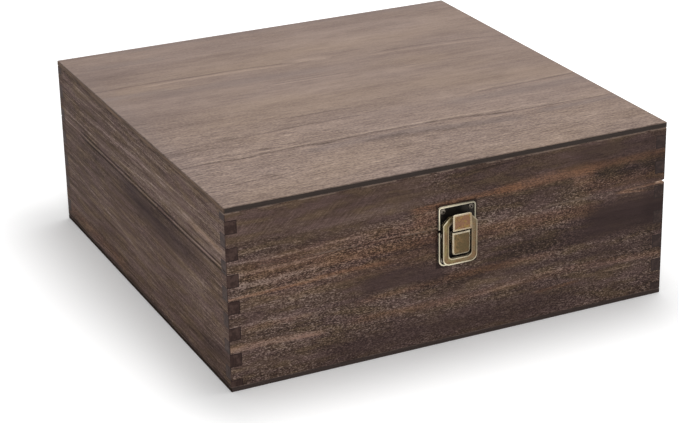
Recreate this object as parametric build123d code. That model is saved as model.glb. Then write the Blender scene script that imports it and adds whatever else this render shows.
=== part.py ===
"""Wooden memory box: a finger-jointed case sawn into a base and a hinged lid, with a draw latch.

All lengths are millimetres and all angles degrees. The origin is the centre of the underside,
+Z is up, the latch faces -Y and the hinges are on the +Y side.
"""
from build123d import *
import os

# Case
box_width = 300.0
box_depth = 300.0
wall_thickness = 7.5
base_wall_height = 74.3
lid_wall_height = 36.5
bottom_panel_thickness = 3.0
top_panel_thickness = 3.7
edge_easing = 0.4

# Finger joints, counted down from the top panel
first_finger_drop = 4.6
finger_height = 8.45
thinnest_finger = 1.0

# Splinter that is missing from the lid's front right corner, at the seam
chip_length = 7.2
chip_height = 1.8

# Screws
screw_head_radius = 1.7
screw_head_height = 0.7
screw_shank_radius = 0.8
screw_length = 6.0
screw_point_length = 1.6
cross_slot_length = 2.0
cross_slot_width = 0.45
cross_slot_depth = 0.35
screw_hole_clearance = 0.05
pilot_hole_extra = 0.3

# Latch plates
latch_width = 25.3
hook_plate_height = 14.9
base_plate_height = 22.8
plate_gap = 0.9
plate_gap_below_seam = 1.5
plate_thickness = 0.8
plate_rim_width = 0.8
plate_rim_height = 0.5
plate_top_corner_radius = 2.0
plate_bottom_corner_radius = 4.0
latch_screw_edge_distance = 3.0
latch_low_screw_rise = 3.8

# Hook that the loop's top bar sits in
hook_width = 12.6
hook_height = 10.6
hook_drop_below_seam = 0.4
hook_thickness = 0.8
hook_stand_off = 7.2
hook_corner_radius = 1.4
hook_neck_width = 5.0
hook_neck_height = 2.3
hook_neck_above_seam = 0.3
hook_rim_width = 1.0
hook_recess_depth = 0.2
hook_edge_chamfer = 0.25

# Loop
loop_width = 23.4
loop_top_above_seam = 7.8
loop_height = 31.0
loop_bar_width = 3.9
loop_thickness = 1.6
loop_rim_width = 0.7
loop_rim_height = 0.3
loop_stand_off = 3.2
loop_top_corner_chamfer = 4.4
loop_bottom_corner_radius = 4.4
loop_window_bottom_radius = 3.0
loop_bar_gap_clearance = 0.7

# Lever
lever_width = 12.0
lever_height = 14.4
lever_top_below_seam = 2.1
lever_front = 6.9
lever_wall = 0.9
lever_skirt_depth = 1.7
lever_corner_radius = 2.2
lever_edge_chamfer = 0.7
lever_boss_wall = 1.0
lever_heel_gap = 0.3
lever_heel_height = 2.0
lever_skirt_start = 3.9

# Latch pivots: the loop's pin lies past the lever's dead centre by the set-in below
lever_pivot_below_seam = 4.7
lever_pivot_out = 4.2
crank_radius = 1.8
crank_set_in = 0.2
latch_pin_radius = 0.5
pin_clearance = 0.05
lever_pin_overhang = 0.3
loop_pin_seat_depth = 2.0
ear_thickness = 0.9
ear_side_clearance = 0.3
ear_wall = 0.55
ear_foot_lift = 0.4

# Hinges
hinge_inset = 60.0
hinge_width = 30.0
hinge_leaf_height = 13.0
hinge_leaf_thickness = 0.9
hinge_corner_radius = 1.5
hinge_barrel_radius = 2.3
hinge_barrel_stand_off = 0.4
hinge_pin_radius = 1.1
hinge_pin_head_radius = 1.7
hinge_pin_head_height = 0.6
knuckle_count = 5
knuckle_gap = 0.2
knuckle_wall = 0.6
leaf_cutback = 0.5
strip_overlap = 0.2
strip_end_gap = 0.5
hinge_screw_spacing = 18.0
hinge_screw_from_edge = 4.2
lid_opening_angle = 105.0
stop_flange_reach = 2.3
stop_flange_clearance = 0.2
stop_flange_play = 1.0

# Heights of the case that the sizes above give
seam_z = bottom_panel_thickness + base_wall_height
frame_top_z = seam_z + lid_wall_height
lid_top_z = frame_top_z + top_panel_thickness
base_heights = (bottom_panel_thickness, seam_z)
lid_heights = (seam_z, frame_top_z)

# Latch plates, pins and screws, in heights and in distances out of the front face
hook_plate_low = seam_z - plate_gap_below_seam + plate_gap / 2
hook_plate_top = hook_plate_low + hook_plate_height
base_plate_top = hook_plate_low - plate_gap
base_plate_low = base_plate_top - base_plate_height
pivot_z = seam_z - lever_pivot_below_seam
crank_drop = (crank_radius**2 - crank_set_in**2) ** 0.5
loop_pin_z = pivot_z - crank_drop
loop_pin_out = lever_pivot_out - crank_set_in
pin_hole_radius = latch_pin_radius + pin_clearance
cheek_outer_x = lever_width / 2
cheek_inner_x = cheek_outer_x - lever_wall
ear_outer_x = cheek_inner_x - ear_side_clearance
loop_window_half = loop_width / 2 - loop_bar_width
latch_screw_x = latch_width / 2 - latch_screw_edge_distance
hook_screw_points = [(side * latch_screw_x, hook_plate_top - latch_screw_edge_distance) for side in (-1, 1)]
base_plate_screw_points = [
    (side * latch_screw_x, z)
    for side in (-1, 1)
    for z in (base_plate_low + latch_low_screw_rise, base_plate_top - latch_screw_edge_distance)
]

# Hinge axis and centres
hinge_axis_out = hinge_barrel_radius + hinge_barrel_stand_off
hinge_axis_y = box_depth / 2 + hinge_axis_out
hinge_centres = (hinge_inset - box_width / 2, box_width / 2 - hinge_inset)

front_face = Plane(origin=(0, -box_depth / 2, 0), x_dir=(1, 0, 0), z_dir=(0, -1, 0))
back_face = Plane(origin=(0, box_depth / 2, 0), x_dir=(-1, 0, 0), z_dir=(0, 1, 0))

# Side view of the latch: the first coordinate runs out of the front face, the second is the height.
latch_side = Plane(origin=(0, -box_depth / 2, 0), x_dir=(0, -1, 0), z_dir=(-1, 0, 0))


def write(name, shape):
    """Write one piece, or one group of like pieces, under its own name."""
    export_step(shape, f"parts/{name}.step")


def block(x_range, y_range, z_range):
    """Box between two limits along each axis."""
    spans = (x_range, y_range, z_range)
    sizes = [high - low for low, high in spans]
    centre = [(low + high) / 2 for low, high in spans]
    return Pos(*centre) * Box(*sizes)


def eased_block(z_low, z_high):
    """The whole footprint of the case between two heights, with its edges sanded off."""
    whole = block((-box_width / 2, box_width / 2), (-box_depth / 2, box_depth / 2), (z_low, z_high))
    return chamfer(whole.edges(), edge_easing)


def from_face(face, sketch, low, high):
    """Sketch raised from a face of the case, from one distance out to another."""
    return extrude(face.offset(low) * sketch, high - low)


def across(sketch, low, high):
    """Side view of the latch swept along X, from x = low to x = high."""
    return extrude(latch_side.offset(-high) * sketch, high - low)


# Case


def finger_spans(z_low, z_high):
    """Heights over which the side walls' fingers reach the front and back faces."""
    spans = []
    top = frame_top_z - first_finger_drop
    while top > z_low:
        low = top - finger_height
        low = z_low if low < z_low + thinnest_finger else low
        high = z_high if top > z_high - thinnest_finger else top
        if high - low >= thinnest_finger:
            spans.append((low, high))
        top = top - 2 * finger_height
    return spans


def corner_fingers(z_low, z_high, x_sides):
    """The side walls' fingers in the corner posts on the given sides."""
    fingers = []
    for x_side in x_sides:
        for y_side in (-1, 1):
            x_limits = sorted((x_side * box_width / 2, x_side * (box_width / 2 - wall_thickness)))
            y_limits = sorted((y_side * box_depth / 2, y_side * (box_depth / 2 - wall_thickness)))
            for span in finger_spans(z_low, z_high):
                fingers.append(block(x_limits, y_limits, span))
    return fingers


def cross_wall(y_side, z_low, z_high):
    """Front (y_side -1) or back (+1) wall, full width, notched for the side walls' fingers."""
    y_limits = sorted((y_side * box_depth / 2, y_side * (box_depth / 2 - wall_thickness)))
    wall = block((-box_width / 2, box_width / 2), y_limits, (z_low, z_high))
    wall = wall - corner_fingers(z_low, z_high, (-1, 1))
    return wall & eased_block(z_low, z_high)


def side_wall(x_side, z_low, z_high):
    """Left (x_side -1) or right (+1) wall, whose fingers reach the front and back faces."""
    x_limits = sorted((x_side * box_width / 2, x_side * (box_width / 2 - wall_thickness)))
    y_limits = (-box_depth / 2 + wall_thickness, box_depth / 2 - wall_thickness)
    wall = block(x_limits, y_limits, (z_low, z_high))
    wall = wall + corner_fingers(z_low, z_high, (x_side,))
    return wall & eased_block(z_low, z_high)


def corner_chip():
    """Wedge of the lid's front right corner that has broken off along the seam."""
    right = box_width / 2
    outline = Polygon(
        (right - chip_length, seam_z),
        (right, seam_z),
        (right, seam_z + chip_height),
        align=None,
    )
    return from_face(front_face, outline, -wall_thickness, 0)


# Screws


def screw():
    """Pan-head wood screw standing on +Z, the underside of its head at z = 0."""
    profile = Polyline(
        (0, -screw_length),
        (screw_shank_radius, screw_point_length - screw_length),
        (screw_shank_radius, 0),
        (screw_head_radius, 0),
        (screw_head_radius, screw_head_height * 0.4),
    )
    dome = ThreePointArc(
        (screw_head_radius, screw_head_height * 0.4),
        (screw_head_radius * 0.6, screw_head_height * 0.88),
        (0, screw_head_height),
    )
    axis = Line((0, screw_head_height), (0, -screw_length))
    body = revolve(Plane.XZ * make_face([profile, dome, axis]), Axis.Z)
    slot = Pos(0, 0, screw_head_height) * Box(cross_slot_length, cross_slot_width, 2 * cross_slot_depth)
    return body - slot - Rot(0, 0, 90) * slot


def screw_hole(depth_in_wood, sheet_thickness):
    """Hole for one screw, from the top of the sheet that it holds down into the wood."""
    depth = depth_in_wood + sheet_thickness
    return Pos(0, 0, sheet_thickness - depth / 2) * Cylinder(screw_shank_radius + screw_hole_clearance, depth)


def screws_at(face, points, sheet_thickness):
    """Group of screws, one at each point of a face, through a sheet."""
    return Compound(children=[face.location * Pos(x, z, sheet_thickness) * screw() for x, z in points])


def holes_at(face, points, sheet_thickness):
    """The holes that those screws sit in."""
    depth_in_wood = screw_length - sheet_thickness + pilot_hole_extra
    hole = screw_hole(depth_in_wood, sheet_thickness)
    return [face.location * Pos(x, z) * hole for x, z in points]


def hinge_screw_points(side):
    """Screws of both hinges on the lid (side +1) or on the base (side -1)."""
    offsets = (-hinge_screw_spacing / 2, hinge_screw_spacing / 2)
    z = seam_z + side * (hinge_leaf_height - hinge_screw_from_edge)
    return [(centre + offset, z) for centre in hinge_centres for offset in offsets]


# Latch


def plate_sheet(z_low, z_high, corner_radius, rounded_end):
    """Latch plate with a raised rim on every side but the one at the seam."""
    middle = (z_low + z_high) / 2
    outline = Pos(0, middle) * Rectangle(latch_width, z_high - z_low)
    corners = outline.vertices().group_by(Axis.Y)[rounded_end]
    outline = fillet(corners, corner_radius)
    floor_shift = plate_rim_width if rounded_end == 0 else -plate_rim_width
    floor = Pos(0, middle + floor_shift) * Rectangle(latch_width - 2 * plate_rim_width, z_high - z_low)
    floor = fillet(floor.vertices().group_by(Axis.Y)[rounded_end], corner_radius - plate_rim_width)
    sheet = from_face(front_face, outline, 0, plate_thickness + plate_rim_height)
    return sheet - from_face(front_face, floor, plate_thickness, plate_thickness + 2 * plate_rim_height)


def hook_plate():
    """Plate on the lid with the upturned hook that the loop pulls on."""
    plate = plate_sheet(hook_plate_low, hook_plate_top, plate_top_corner_radius, -1)
    hook_low = seam_z - hook_drop_below_seam
    outline = Pos(0, hook_low + hook_height / 2) * Rectangle(hook_width, hook_height)
    outline = fillet(outline.vertices().group_by(Axis.Y)[-1], hook_corner_radius)
    tongue = from_face(front_face, outline, hook_stand_off, hook_stand_off + hook_thickness)
    front_edges = tongue.faces().sort_by(Axis.Y)[0].edges()
    tongue = chamfer(front_edges, hook_edge_chamfer)
    recess = Pos(0, hook_low + hook_height / 2) * Rectangle(
        hook_width - 2 * hook_rim_width, hook_height - 2 * hook_rim_width
    )
    hook_front = hook_stand_off + hook_thickness
    tongue = tongue - from_face(
        front_face, recess, hook_front - hook_recess_depth, hook_front + hook_recess_depth
    )
    neck_middle = seam_z + hook_neck_above_seam + hook_neck_height / 2
    neck = Pos(0, neck_middle) * Rectangle(hook_neck_width, hook_neck_height)
    neck = from_face(front_face, neck, plate_thickness / 2, hook_stand_off + hook_thickness / 2)
    plate = plate + neck + tongue
    return plate - holes_at(front_face, hook_screw_points, plate_thickness)


def base_plate():
    """Plate on the base with two ears that carry the lever's pin."""
    plate = plate_sheet(base_plate_low, base_plate_top, plate_bottom_corner_radius, 0)
    ear_radius = pin_hole_radius + ear_wall
    foot_start = plate_thickness / 2
    foot = Pos((lever_pivot_out + foot_start) / 2, pivot_z + ear_foot_lift) * Rectangle(
        lever_pivot_out - foot_start, 2 * ear_radius
    )
    ear = foot + Pos(lever_pivot_out, pivot_z) * Circle(ear_radius)
    ear = ear - Pos(lever_pivot_out, pivot_z) * Circle(pin_hole_radius)
    plate = plate + across(ear, ear_outer_x - ear_thickness, ear_outer_x)
    plate = plate + across(ear, -ear_outer_x, ear_thickness - ear_outer_x)
    return plate - holes_at(front_face, base_plate_screw_points, plate_thickness)


def lever_side_view():
    """Side view of the lever: a skirt behind its face, a heel on the plate and bosses for the pins."""
    top = seam_z - lever_top_below_seam
    low = top - lever_height
    boss = pin_hole_radius + lever_boss_wall
    heel_out = plate_thickness + lever_heel_gap
    skirt_out = lever_front - lever_skirt_depth
    outline = Polygon(
        (lever_front, low),
        (lever_front, top),
        (skirt_out, top),
        (lever_pivot_out, pivot_z + boss),
        (lever_pivot_out - boss, pivot_z),
        (heel_out, loop_pin_z),
        (heel_out, loop_pin_z - lever_heel_height),
        (loop_pin_out, loop_pin_z - lever_heel_height),
        (skirt_out, loop_pin_z - lever_skirt_start),
        (skirt_out, low),
        align=None,
    )
    for out, z in ((lever_pivot_out, pivot_z), (loop_pin_out, loop_pin_z)):
        outline = outline - Pos(out, z) * Circle(pin_hole_radius)
    return outline


def lever():
    """Pressed lever: a face with rounded lower corners and two cheeks that the pins pass through."""
    top = seam_z - lever_top_below_seam
    face = Pos(0, top - lever_height / 2) * Rectangle(lever_width, lever_height)
    face = fillet(face.vertices().group_by(Axis.Y)[0], lever_corner_radius)
    cap = from_face(front_face, face, 0, lever_front)
    front_edges = cap.faces().sort_by(Axis.Y)[0].edges()
    cap = chamfer(front_edges, lever_edge_chamfer)
    cap = cap & across(lever_side_view(), -lever_width, lever_width)
    hollow = Pos(0, top - lever_height / 2) * Rectangle(2 * cheek_inner_x, lever_height - 2 * lever_wall)
    hollow = fillet(hollow.vertices().group_by(Axis.Y)[0], lever_corner_radius - lever_wall)
    cap = cap - from_face(front_face, hollow, 0, lever_front - lever_wall)
    open_top = Pos(0, top) * Rectangle(2 * cheek_inner_x, 3 * lever_wall)
    return cap - from_face(front_face, open_top, 0, lever_front - lever_wall)


def loop_outline(inset):
    """Outer outline of the loop, drawn in by an inset."""
    z_high = seam_z + loop_top_above_seam - inset
    z_low = seam_z + loop_top_above_seam - loop_height + inset
    outline = Pos(0, (z_low + z_high) / 2) * Rectangle(loop_width - 2 * inset, z_high - z_low)
    corner_cut = loop_top_corner_chamfer - (2 - 2**0.5) * inset
    outline = chamfer(outline.vertices().group_by(Axis.Y)[-1], corner_cut)
    return fillet(outline.vertices().group_by(Axis.Y)[0], loop_bottom_corner_radius - inset)


def loop_window(inset):
    """The loop's window, drawn out by an inset."""
    z_high = seam_z + loop_top_above_seam - loop_bar_width + inset
    z_low = seam_z + loop_top_above_seam - loop_height + loop_bar_width - inset
    window = Pos(0, (z_low + z_high) / 2) * Rectangle(2 * (loop_window_half + inset), z_high - z_low)
    window = chamfer(window.vertices().group_by(Axis.Y)[-1], loop_top_corner_chamfer / 2)
    return fillet(window.vertices().group_by(Axis.Y)[0], loop_window_bottom_radius + inset)


def loop():
    """Flat loop with raised rims; its top bar is open behind the hook, so the lid can lift out."""
    face_out = loop_stand_off + loop_thickness
    ring = from_face(front_face, loop_outline(0) - loop_window(0), loop_stand_off, face_out + loop_rim_height)
    dish = loop_outline(loop_rim_width) - loop_window(loop_rim_width)
    ring = ring - from_face(front_face, dish, face_out, face_out + 2 * loop_rim_height)
    gap_width = hook_neck_width + 2 * loop_bar_gap_clearance
    gap = Pos(0, seam_z + loop_top_above_seam) * Rectangle(gap_width, 3 * loop_bar_width)
    ring = ring - from_face(front_face, gap, 0, face_out + 2 * loop_rim_height)
    seat = Pos(loop_pin_out, loop_pin_z) * Circle(pin_hole_radius)
    seat_reach = loop_window_half + loop_pin_seat_depth + pin_clearance
    return ring - across(seat, -seat_reach, seat_reach)


def latch_pin(out, z, half_length):
    """Pin across the latch."""
    return across(Pos(out, z) * Circle(latch_pin_radius), -half_length, half_length)


# Hinges


def hinge_section(x):
    """Plane across the hinge axis: outwards, then upwards."""
    return Plane(origin=(x, hinge_axis_y, seam_z), x_dir=(0, 1, 0), z_dir=(1, 0, 0))


def knuckle_spans(side):
    """X limits of the knuckles of the lid leaf (side +1) or the base leaf (side -1)."""
    length = (hinge_width - (knuckle_count - 1) * knuckle_gap) / knuckle_count
    first = 0 if side < 0 else 1
    starts = [-hinge_width / 2 + index * (length + knuckle_gap) for index in range(first, knuckle_count, 2)]
    return [(start, start + length) for start in starts]


def knuckle_profile(side):
    """Rolled knuckle with its strip down to the leaf, around the hinge axis."""
    strip_end = hinge_barrel_radius + leaf_cutback + strip_overlap
    strip_thickness = hinge_leaf_thickness + hinge_barrel_stand_off
    strip_middle = side * (strip_end + strip_end_gap) / 2
    strip = Pos(strip_thickness / 2 - hinge_axis_out, strip_middle) * Rectangle(
        strip_thickness, strip_end - strip_end_gap
    )
    return Circle(hinge_barrel_radius) + strip


def stop_flange_profile(side, inner_radius):
    """Radial flange whose face meets the other leaf's flange when the lid is fully open."""
    half_angle = (lid_opening_angle + stop_flange_play) / 2
    outer_radius = hinge_barrel_radius + stop_flange_reach
    middle = (inner_radius + outer_radius) / 2
    plate = Pos(middle, side * hinge_leaf_thickness / 2) * Rectangle(
        outer_radius - inner_radius, hinge_leaf_thickness
    )
    return Rot(0, 0, side * half_angle) * plate


def hinge_leaf(centre, side):
    """Lid leaf (side +1) or base leaf (side -1) of the hinge at x = centre."""
    leaf_start = hinge_barrel_radius + leaf_cutback
    leaf_middle = seam_z + side * (leaf_start + hinge_leaf_height) / 2
    outline = Pos(-centre, leaf_middle) * Rectangle(hinge_width, hinge_leaf_height - leaf_start)
    far_end = outline.vertices().group_by(Axis.Y)[-1 if side > 0 else 0]
    outline = fillet(far_end, hinge_corner_radius)
    leaf = from_face(back_face, outline, 0, hinge_leaf_thickness)

    knuckle = knuckle_profile(side) + stop_flange_profile(side, hinge_pin_radius + knuckle_wall)
    for low, high in knuckle_spans(side):
        leaf = leaf + extrude(hinge_section(centre + low) * knuckle, high - low)
    end = hinge_section(centre - hinge_width / 2)
    flange = stop_flange_profile(side, hinge_barrel_radius + stop_flange_clearance)
    leaf = leaf + extrude(end * flange, hinge_width)
    leaf = leaf - extrude(end * Circle(hinge_pin_radius + pin_clearance), hinge_width)
    return leaf - holes_at(back_face, hinge_screw_points(side), hinge_leaf_thickness)


def hinge_pin(centre):
    """Hinge pin with a low head at each end of the barrel."""
    head_start = hinge_width / 2 + knuckle_gap
    middle = hinge_section(centre)
    pin = extrude(middle * Circle(hinge_pin_radius), head_start, both=True)
    for side in (-1, 1):
        head_middle = side * (head_start + hinge_pin_head_height / 2)
        head = Cylinder(hinge_pin_head_radius, hinge_pin_head_height)
        head = chamfer(head.edges().filter_by(GeomType.CIRCLE), hinge_pin_head_height / 4)
        pin = pin + middle.location * Pos(0, 0, head_middle) * head
    return pin


def latch_pilots(points):
    """Pilot holes in a front wall."""
    return holes_at(front_face, points, plate_thickness)


def hinge_pilots(side):
    """Pilot holes in a back wall."""
    return holes_at(back_face, hinge_screw_points(side), hinge_leaf_thickness)


os.makedirs("parts", exist_ok=True)

write("base_bottom_panel", eased_block(0, bottom_panel_thickness))
write("base_front_wall", cross_wall(-1, *base_heights) - latch_pilots(base_plate_screw_points))
write("base_back_wall", cross_wall(1, *base_heights) - hinge_pilots(-1))
write("base_left_wall", side_wall(-1, *base_heights))
write("base_right_wall", side_wall(1, *base_heights))

write("lid_top_panel", eased_block(frame_top_z, lid_top_z))
write("lid_front_rail", cross_wall(-1, *lid_heights) - latch_pilots(hook_screw_points) - corner_chip())
write("lid_back_rail", cross_wall(1, *lid_heights) - hinge_pilots(1))
write("lid_left_rail", side_wall(-1, *lid_heights))
write("lid_right_rail", side_wall(1, *lid_heights))

write("latch_hook_plate", hook_plate())
write("latch_hook_screws", screws_at(front_face, hook_screw_points, plate_thickness))
write("latch_base_plate", base_plate())
write("latch_base_screws", screws_at(front_face, base_plate_screw_points, plate_thickness))
write("latch_lever", lever())
write("latch_lever_pin", latch_pin(lever_pivot_out, pivot_z, cheek_outer_x + lever_pin_overhang))
write("latch_loop", loop())
write("latch_loop_pin", latch_pin(loop_pin_out, loop_pin_z, loop_window_half + loop_pin_seat_depth))

for hinge_name, hinge_centre in zip(("left", "right"), hinge_centres):
    write(f"{hinge_name}_hinge_base_leaf", hinge_leaf(hinge_centre, -1))
    write(f"{hinge_name}_hinge_lid_leaf", hinge_leaf(hinge_centre, 1))
    write(f"{hinge_name}_hinge_pin", hinge_pin(hinge_centre))
write("hinge_base_screws", screws_at(back_face, hinge_screw_points(-1), hinge_leaf_thickness))
write("hinge_lid_screws", screws_at(back_face, hinge_screw_points(1), hinge_leaf_thickness))

print("case", box_width, box_depth, round(lid_top_z, 2), "seam at", round(seam_z, 2))
print("hinge axis at y", round(hinge_axis_y, 3), "z", round(seam_z, 3))
print("lever pivot at y", round(-box_depth / 2 - lever_pivot_out, 3), "z", round(pivot_z, 3))
print("loop pivot at y", round(-box_depth / 2 - loop_pin_out, 3), "z", round(loop_pin_z, 3))
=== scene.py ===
# %% [markdown]
# # A wooden memory box, step by step
# The real object is a square keepsake box of stained hardwood with finger joints, thin flush panels above
# and below, and a small draw latch of antiqued brass. Its solids come from a CAD model that is already
# packed, so every size is settled before Blender starts. What is left for Blender is the finish: the grain
# of each board, the way the stain took, the rubbed rims of the latch, the light and the camera. Each step
# below says what the real thing is like, how it could be made, and why it is made this way.

# %% Load the packed model
import math

import bpy
from mathutils import Matrix, Vector


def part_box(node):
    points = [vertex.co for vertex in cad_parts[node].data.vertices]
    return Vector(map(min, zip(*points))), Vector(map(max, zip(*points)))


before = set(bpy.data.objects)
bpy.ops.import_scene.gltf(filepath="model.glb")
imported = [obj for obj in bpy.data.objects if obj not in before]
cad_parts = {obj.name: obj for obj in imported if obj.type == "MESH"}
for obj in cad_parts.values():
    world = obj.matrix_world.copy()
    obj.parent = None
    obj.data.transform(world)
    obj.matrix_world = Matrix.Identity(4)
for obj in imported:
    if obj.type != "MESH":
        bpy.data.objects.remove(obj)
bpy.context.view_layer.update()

# %% [markdown]
# Wood is measured in millimetres, Blender in metres. The finishes below follow the boards closely, so the
# heights and widths that they need are read from the model's own pieces, such as where the lid meets the
# base and how thick a wall is. Only the fingers of the corner joints are typed, because a piece's box
# doesn't show them: how high one finger is, and how high the first line between two of them lies.

# %% Measure the box
MM = 0.001


def span_mm(node, axis):
    """Lowest and highest coordinate of a piece along one axis, in millimetres."""
    low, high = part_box(node)
    return low[axis] / MM, high[axis] / MM


half_width = span_mm("base_front_wall", 0)[1]
seam_height = span_mm("base_left_wall", 2)[1]
wall_foot = span_mm("base_bottom_panel", 2)[1]
rail_top = span_mm("lid_left_rail", 2)[1]
wall_thickness = half_width + span_mm("base_left_wall", 0)[1]
box_height = span_mm("lid_top_panel", 2)[1]
finger_height = 8.45
finger_start = 7.8
print("seam", round(seam_height, 2), "wall", round(wall_thickness, 2), "rail top", round(rail_top, 2), "mm")

# %% [markdown]
# Colours are written as a picture editor shows them, because that is how they are compared with the
# photograph. A shader counts light instead: what a picture editor calls 188 of 255 is only half the light.
# So each colour is turned into linear values first.

# %% Colours
def stain(red, green, blue):
    """A colour as a picture editor shows it, 0 to 255, turned into the linear values that a shader needs."""
    def linear(value):
        value = value / 255
        return value / 12.92 if value <= 0.04045 else ((value + 0.055) / 1.055) ** 2.4
    return (linear(red), linear(green), linear(blue), 1.0)


print("walnut brown in linear values:", [round(v, 3) for v in stain(90, 71, 62)])

# %% [markdown]
# A material is a small network of nodes, and a long network is hard to read when each node takes five
# lines. So the output of a node is wrapped in a wire, which can stand in a sum as if it were a number:
# `streaks * 0.4 + fibres` adds the Math nodes by itself. That keeps the recipes below short enough to be
# read as recipes.

# %% Wires that can be added up
class Wire:
    """One output socket. Sums and products of wires add Math nodes to the same bench."""
    def __init__(self, bench, socket):
        self.bench, self.socket = bench, socket

    def __add__(self, other):
        return self.bench.math("ADD", self, other)

    def __sub__(self, other):
        return self.bench.math("SUBTRACT", self, other)

    def __rsub__(self, other):
        return self.bench.math("SUBTRACT", other, self)

    def __mul__(self, other):
        return self.bench.math("MULTIPLY", self, other)

    __radd__, __rmul__ = __add__, __mul__


print("a wire can be added, subtracted and multiplied")

# %% [markdown]
# The bench is the table that a network is laid out on. Most of its methods add one kind of node, plug in
# what they are given, and hand back the wire that comes out.

# %% A bench for node work
class Bench:
    """Adds nodes to one node tree. Any input takes a wire, a number, a colour or a vector."""
    def __init__(self, tree):
        self.tree = tree

    def feed(self, socket, value):
        """Links a wire to the socket, or sets the socket to a plain value."""
        if isinstance(value, Wire):
            self.tree.links.new(value.socket, socket)
        else:
            socket.default_value = value

    def node(self, kind, inputs=(), output=0, **settings):
        """Adds a node with its settings and inputs, and gives one of its outputs."""
        made = self.tree.nodes.new(kind)
        for name, value in settings.items():
            setattr(made, name, value)
        for name, value in dict(inputs).items():
            self.feed(made.inputs[name], value)
        return Wire(self, made.outputs[output])

    def math(self, how, *values):
        """Adds a Math node, such as SINE or MAXIMUM. The sums of wires use it too."""
        return self.node("ShaderNodeMath", dict(enumerate(values)), operation=how)

    def spread(self, value, low, high, to_low=0.0, to_high=1.0):
        """Maps low..high to to_low..to_high with soft ends."""
        inputs = {"Value": value, "From Min": low, "From Max": high, "To Min": to_low, "To Max": to_high}
        return self.node("ShaderNodeMapRange", inputs, interpolation_type="SMOOTHSTEP")

    def split(self, vector):
        """The three parts of a vector."""
        parts = self.node("ShaderNodeSeparateXYZ", {0: vector})
        return [Wire(self, socket) for socket in parts.socket.node.outputs]

    def join(self, x, y, z):
        """A vector of three parts."""
        return self.node("ShaderNodeCombineXYZ", {0: x, 1: y, 2: z})

    def noise(self, place, size, detail=2.0, rough=0.5, shift=(0.0, 0.0, 0.0)):
        """Cloudy noise whose lumps are as long as size says, in millimetres along each axis."""
        inputs = {0: place, 1: tuple(1 / s for s in size), 2: shift}
        scaled = self.node("ShaderNodeVectorMath", inputs, operation="MULTIPLY_ADD")
        return self.node("ShaderNodeTexNoise",
                         {"Vector": scaled, "Scale": 1.0, "Detail": detail, "Roughness": rough})

    def ramp(self, value, stops):
        """Turns a value into a colour; stops lists (position, colour)."""
        made = self.node("ShaderNodeValToRGB", {0: value})
        elements = made.socket.node.color_ramp.elements
        while len(elements) < len(stops):
            elements.new(0.5)
        for element, (position, colour) in zip(elements, stops):
            element.position, element.color = position, colour
        return made

    def tint(self, share, under, over):
        """Lays the colour over on the colour under, as strongly as share says."""
        made = self.tree.nodes.new("ShaderNodeMix")
        made.data_type, made.clamp_factor = "RGBA", True
        self.feed(made.inputs[0], share)
        self.feed(made.inputs[6], under)
        self.feed(made.inputs[7], over)
        return Wire(self, made.outputs[2])

    def curve(self, value, points):
        """Reads a line drawn through the points; value and result both run from 0 to 1."""
        made = self.node("ShaderNodeFloatCurve", {"Value": value})
        mapping = made.socket.node.mapping
        drawn = mapping.curves[0].points
        while len(drawn) < len(points):
            drawn.new(0.5, 0.5)
        for point, place in zip(drawn, points):
            point.location = place
        mapping.update()
        return made

    def use(self, group, **values):
        """Places a shader node group and gives its outputs by name."""
        made = self.tree.nodes.new("ShaderNodeGroup")
        made.node_tree = group
        for name, value in values.items():
            self.feed(made.inputs[name.replace("_", " ")], value)
        return {socket.name: Wire(self, socket) for socket in made.outputs}


print("the bench's methods:", [name for name in vars(Bench) if not name.startswith("_")])

# %% [markdown]
# An effect that several finishes share is built once as a node group with named inputs. This helper opens a
# group and hands over its inputs as wires; the group's maker returns the wires that come out.

# %% A helper that opens a node group
def open_group(name, inputs, outputs):
    """A new shader node group: its bench, its inputs as wires, and a function that closes it."""
    tree = bpy.data.node_groups.new(name, "ShaderNodeTree")
    for label, start in inputs.items():
        kind = "NodeSocketVector" if isinstance(start, tuple) else "NodeSocketFloat"
        tree.interface.new_socket(label, in_out="INPUT", socket_type=kind).default_value = start
    for label in outputs:
        tree.interface.new_socket(label, in_out="OUTPUT", socket_type="NodeSocketFloat")
    entry = tree.nodes.new("NodeGroupInput")
    exit_node = tree.nodes.new("NodeGroupOutput")
    bench = Bench(tree)

    def close(**results):
        for label, wire in results.items():
            bench.feed(exit_node.inputs[label.replace("_", " ")], wire)
        print("node group", name, "has", len(tree.nodes), "nodes")
        return tree

    return bench, {socket.name: Wire(bench, socket) for socket in entry.outputs if socket.name}, close


print("node groups before the first one is made:", len(bpy.data.node_groups))

# %% [markdown]
# ## Long grain
# A board shows its length in the grain: broad clouds where the stain took more or less, long streaks, short
# fibres, open pores, and a fine grit where the saw and the sander tore the fibres. All of them are the same
# cloudy noise, stretched along the board by different amounts. One slow noise moves the others sideways
# first, so that every layer bends together as real grain does. An image of wood would show the same knots
# on each board; noise in three dimensions gives each board its own and runs on round its edges.

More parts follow.
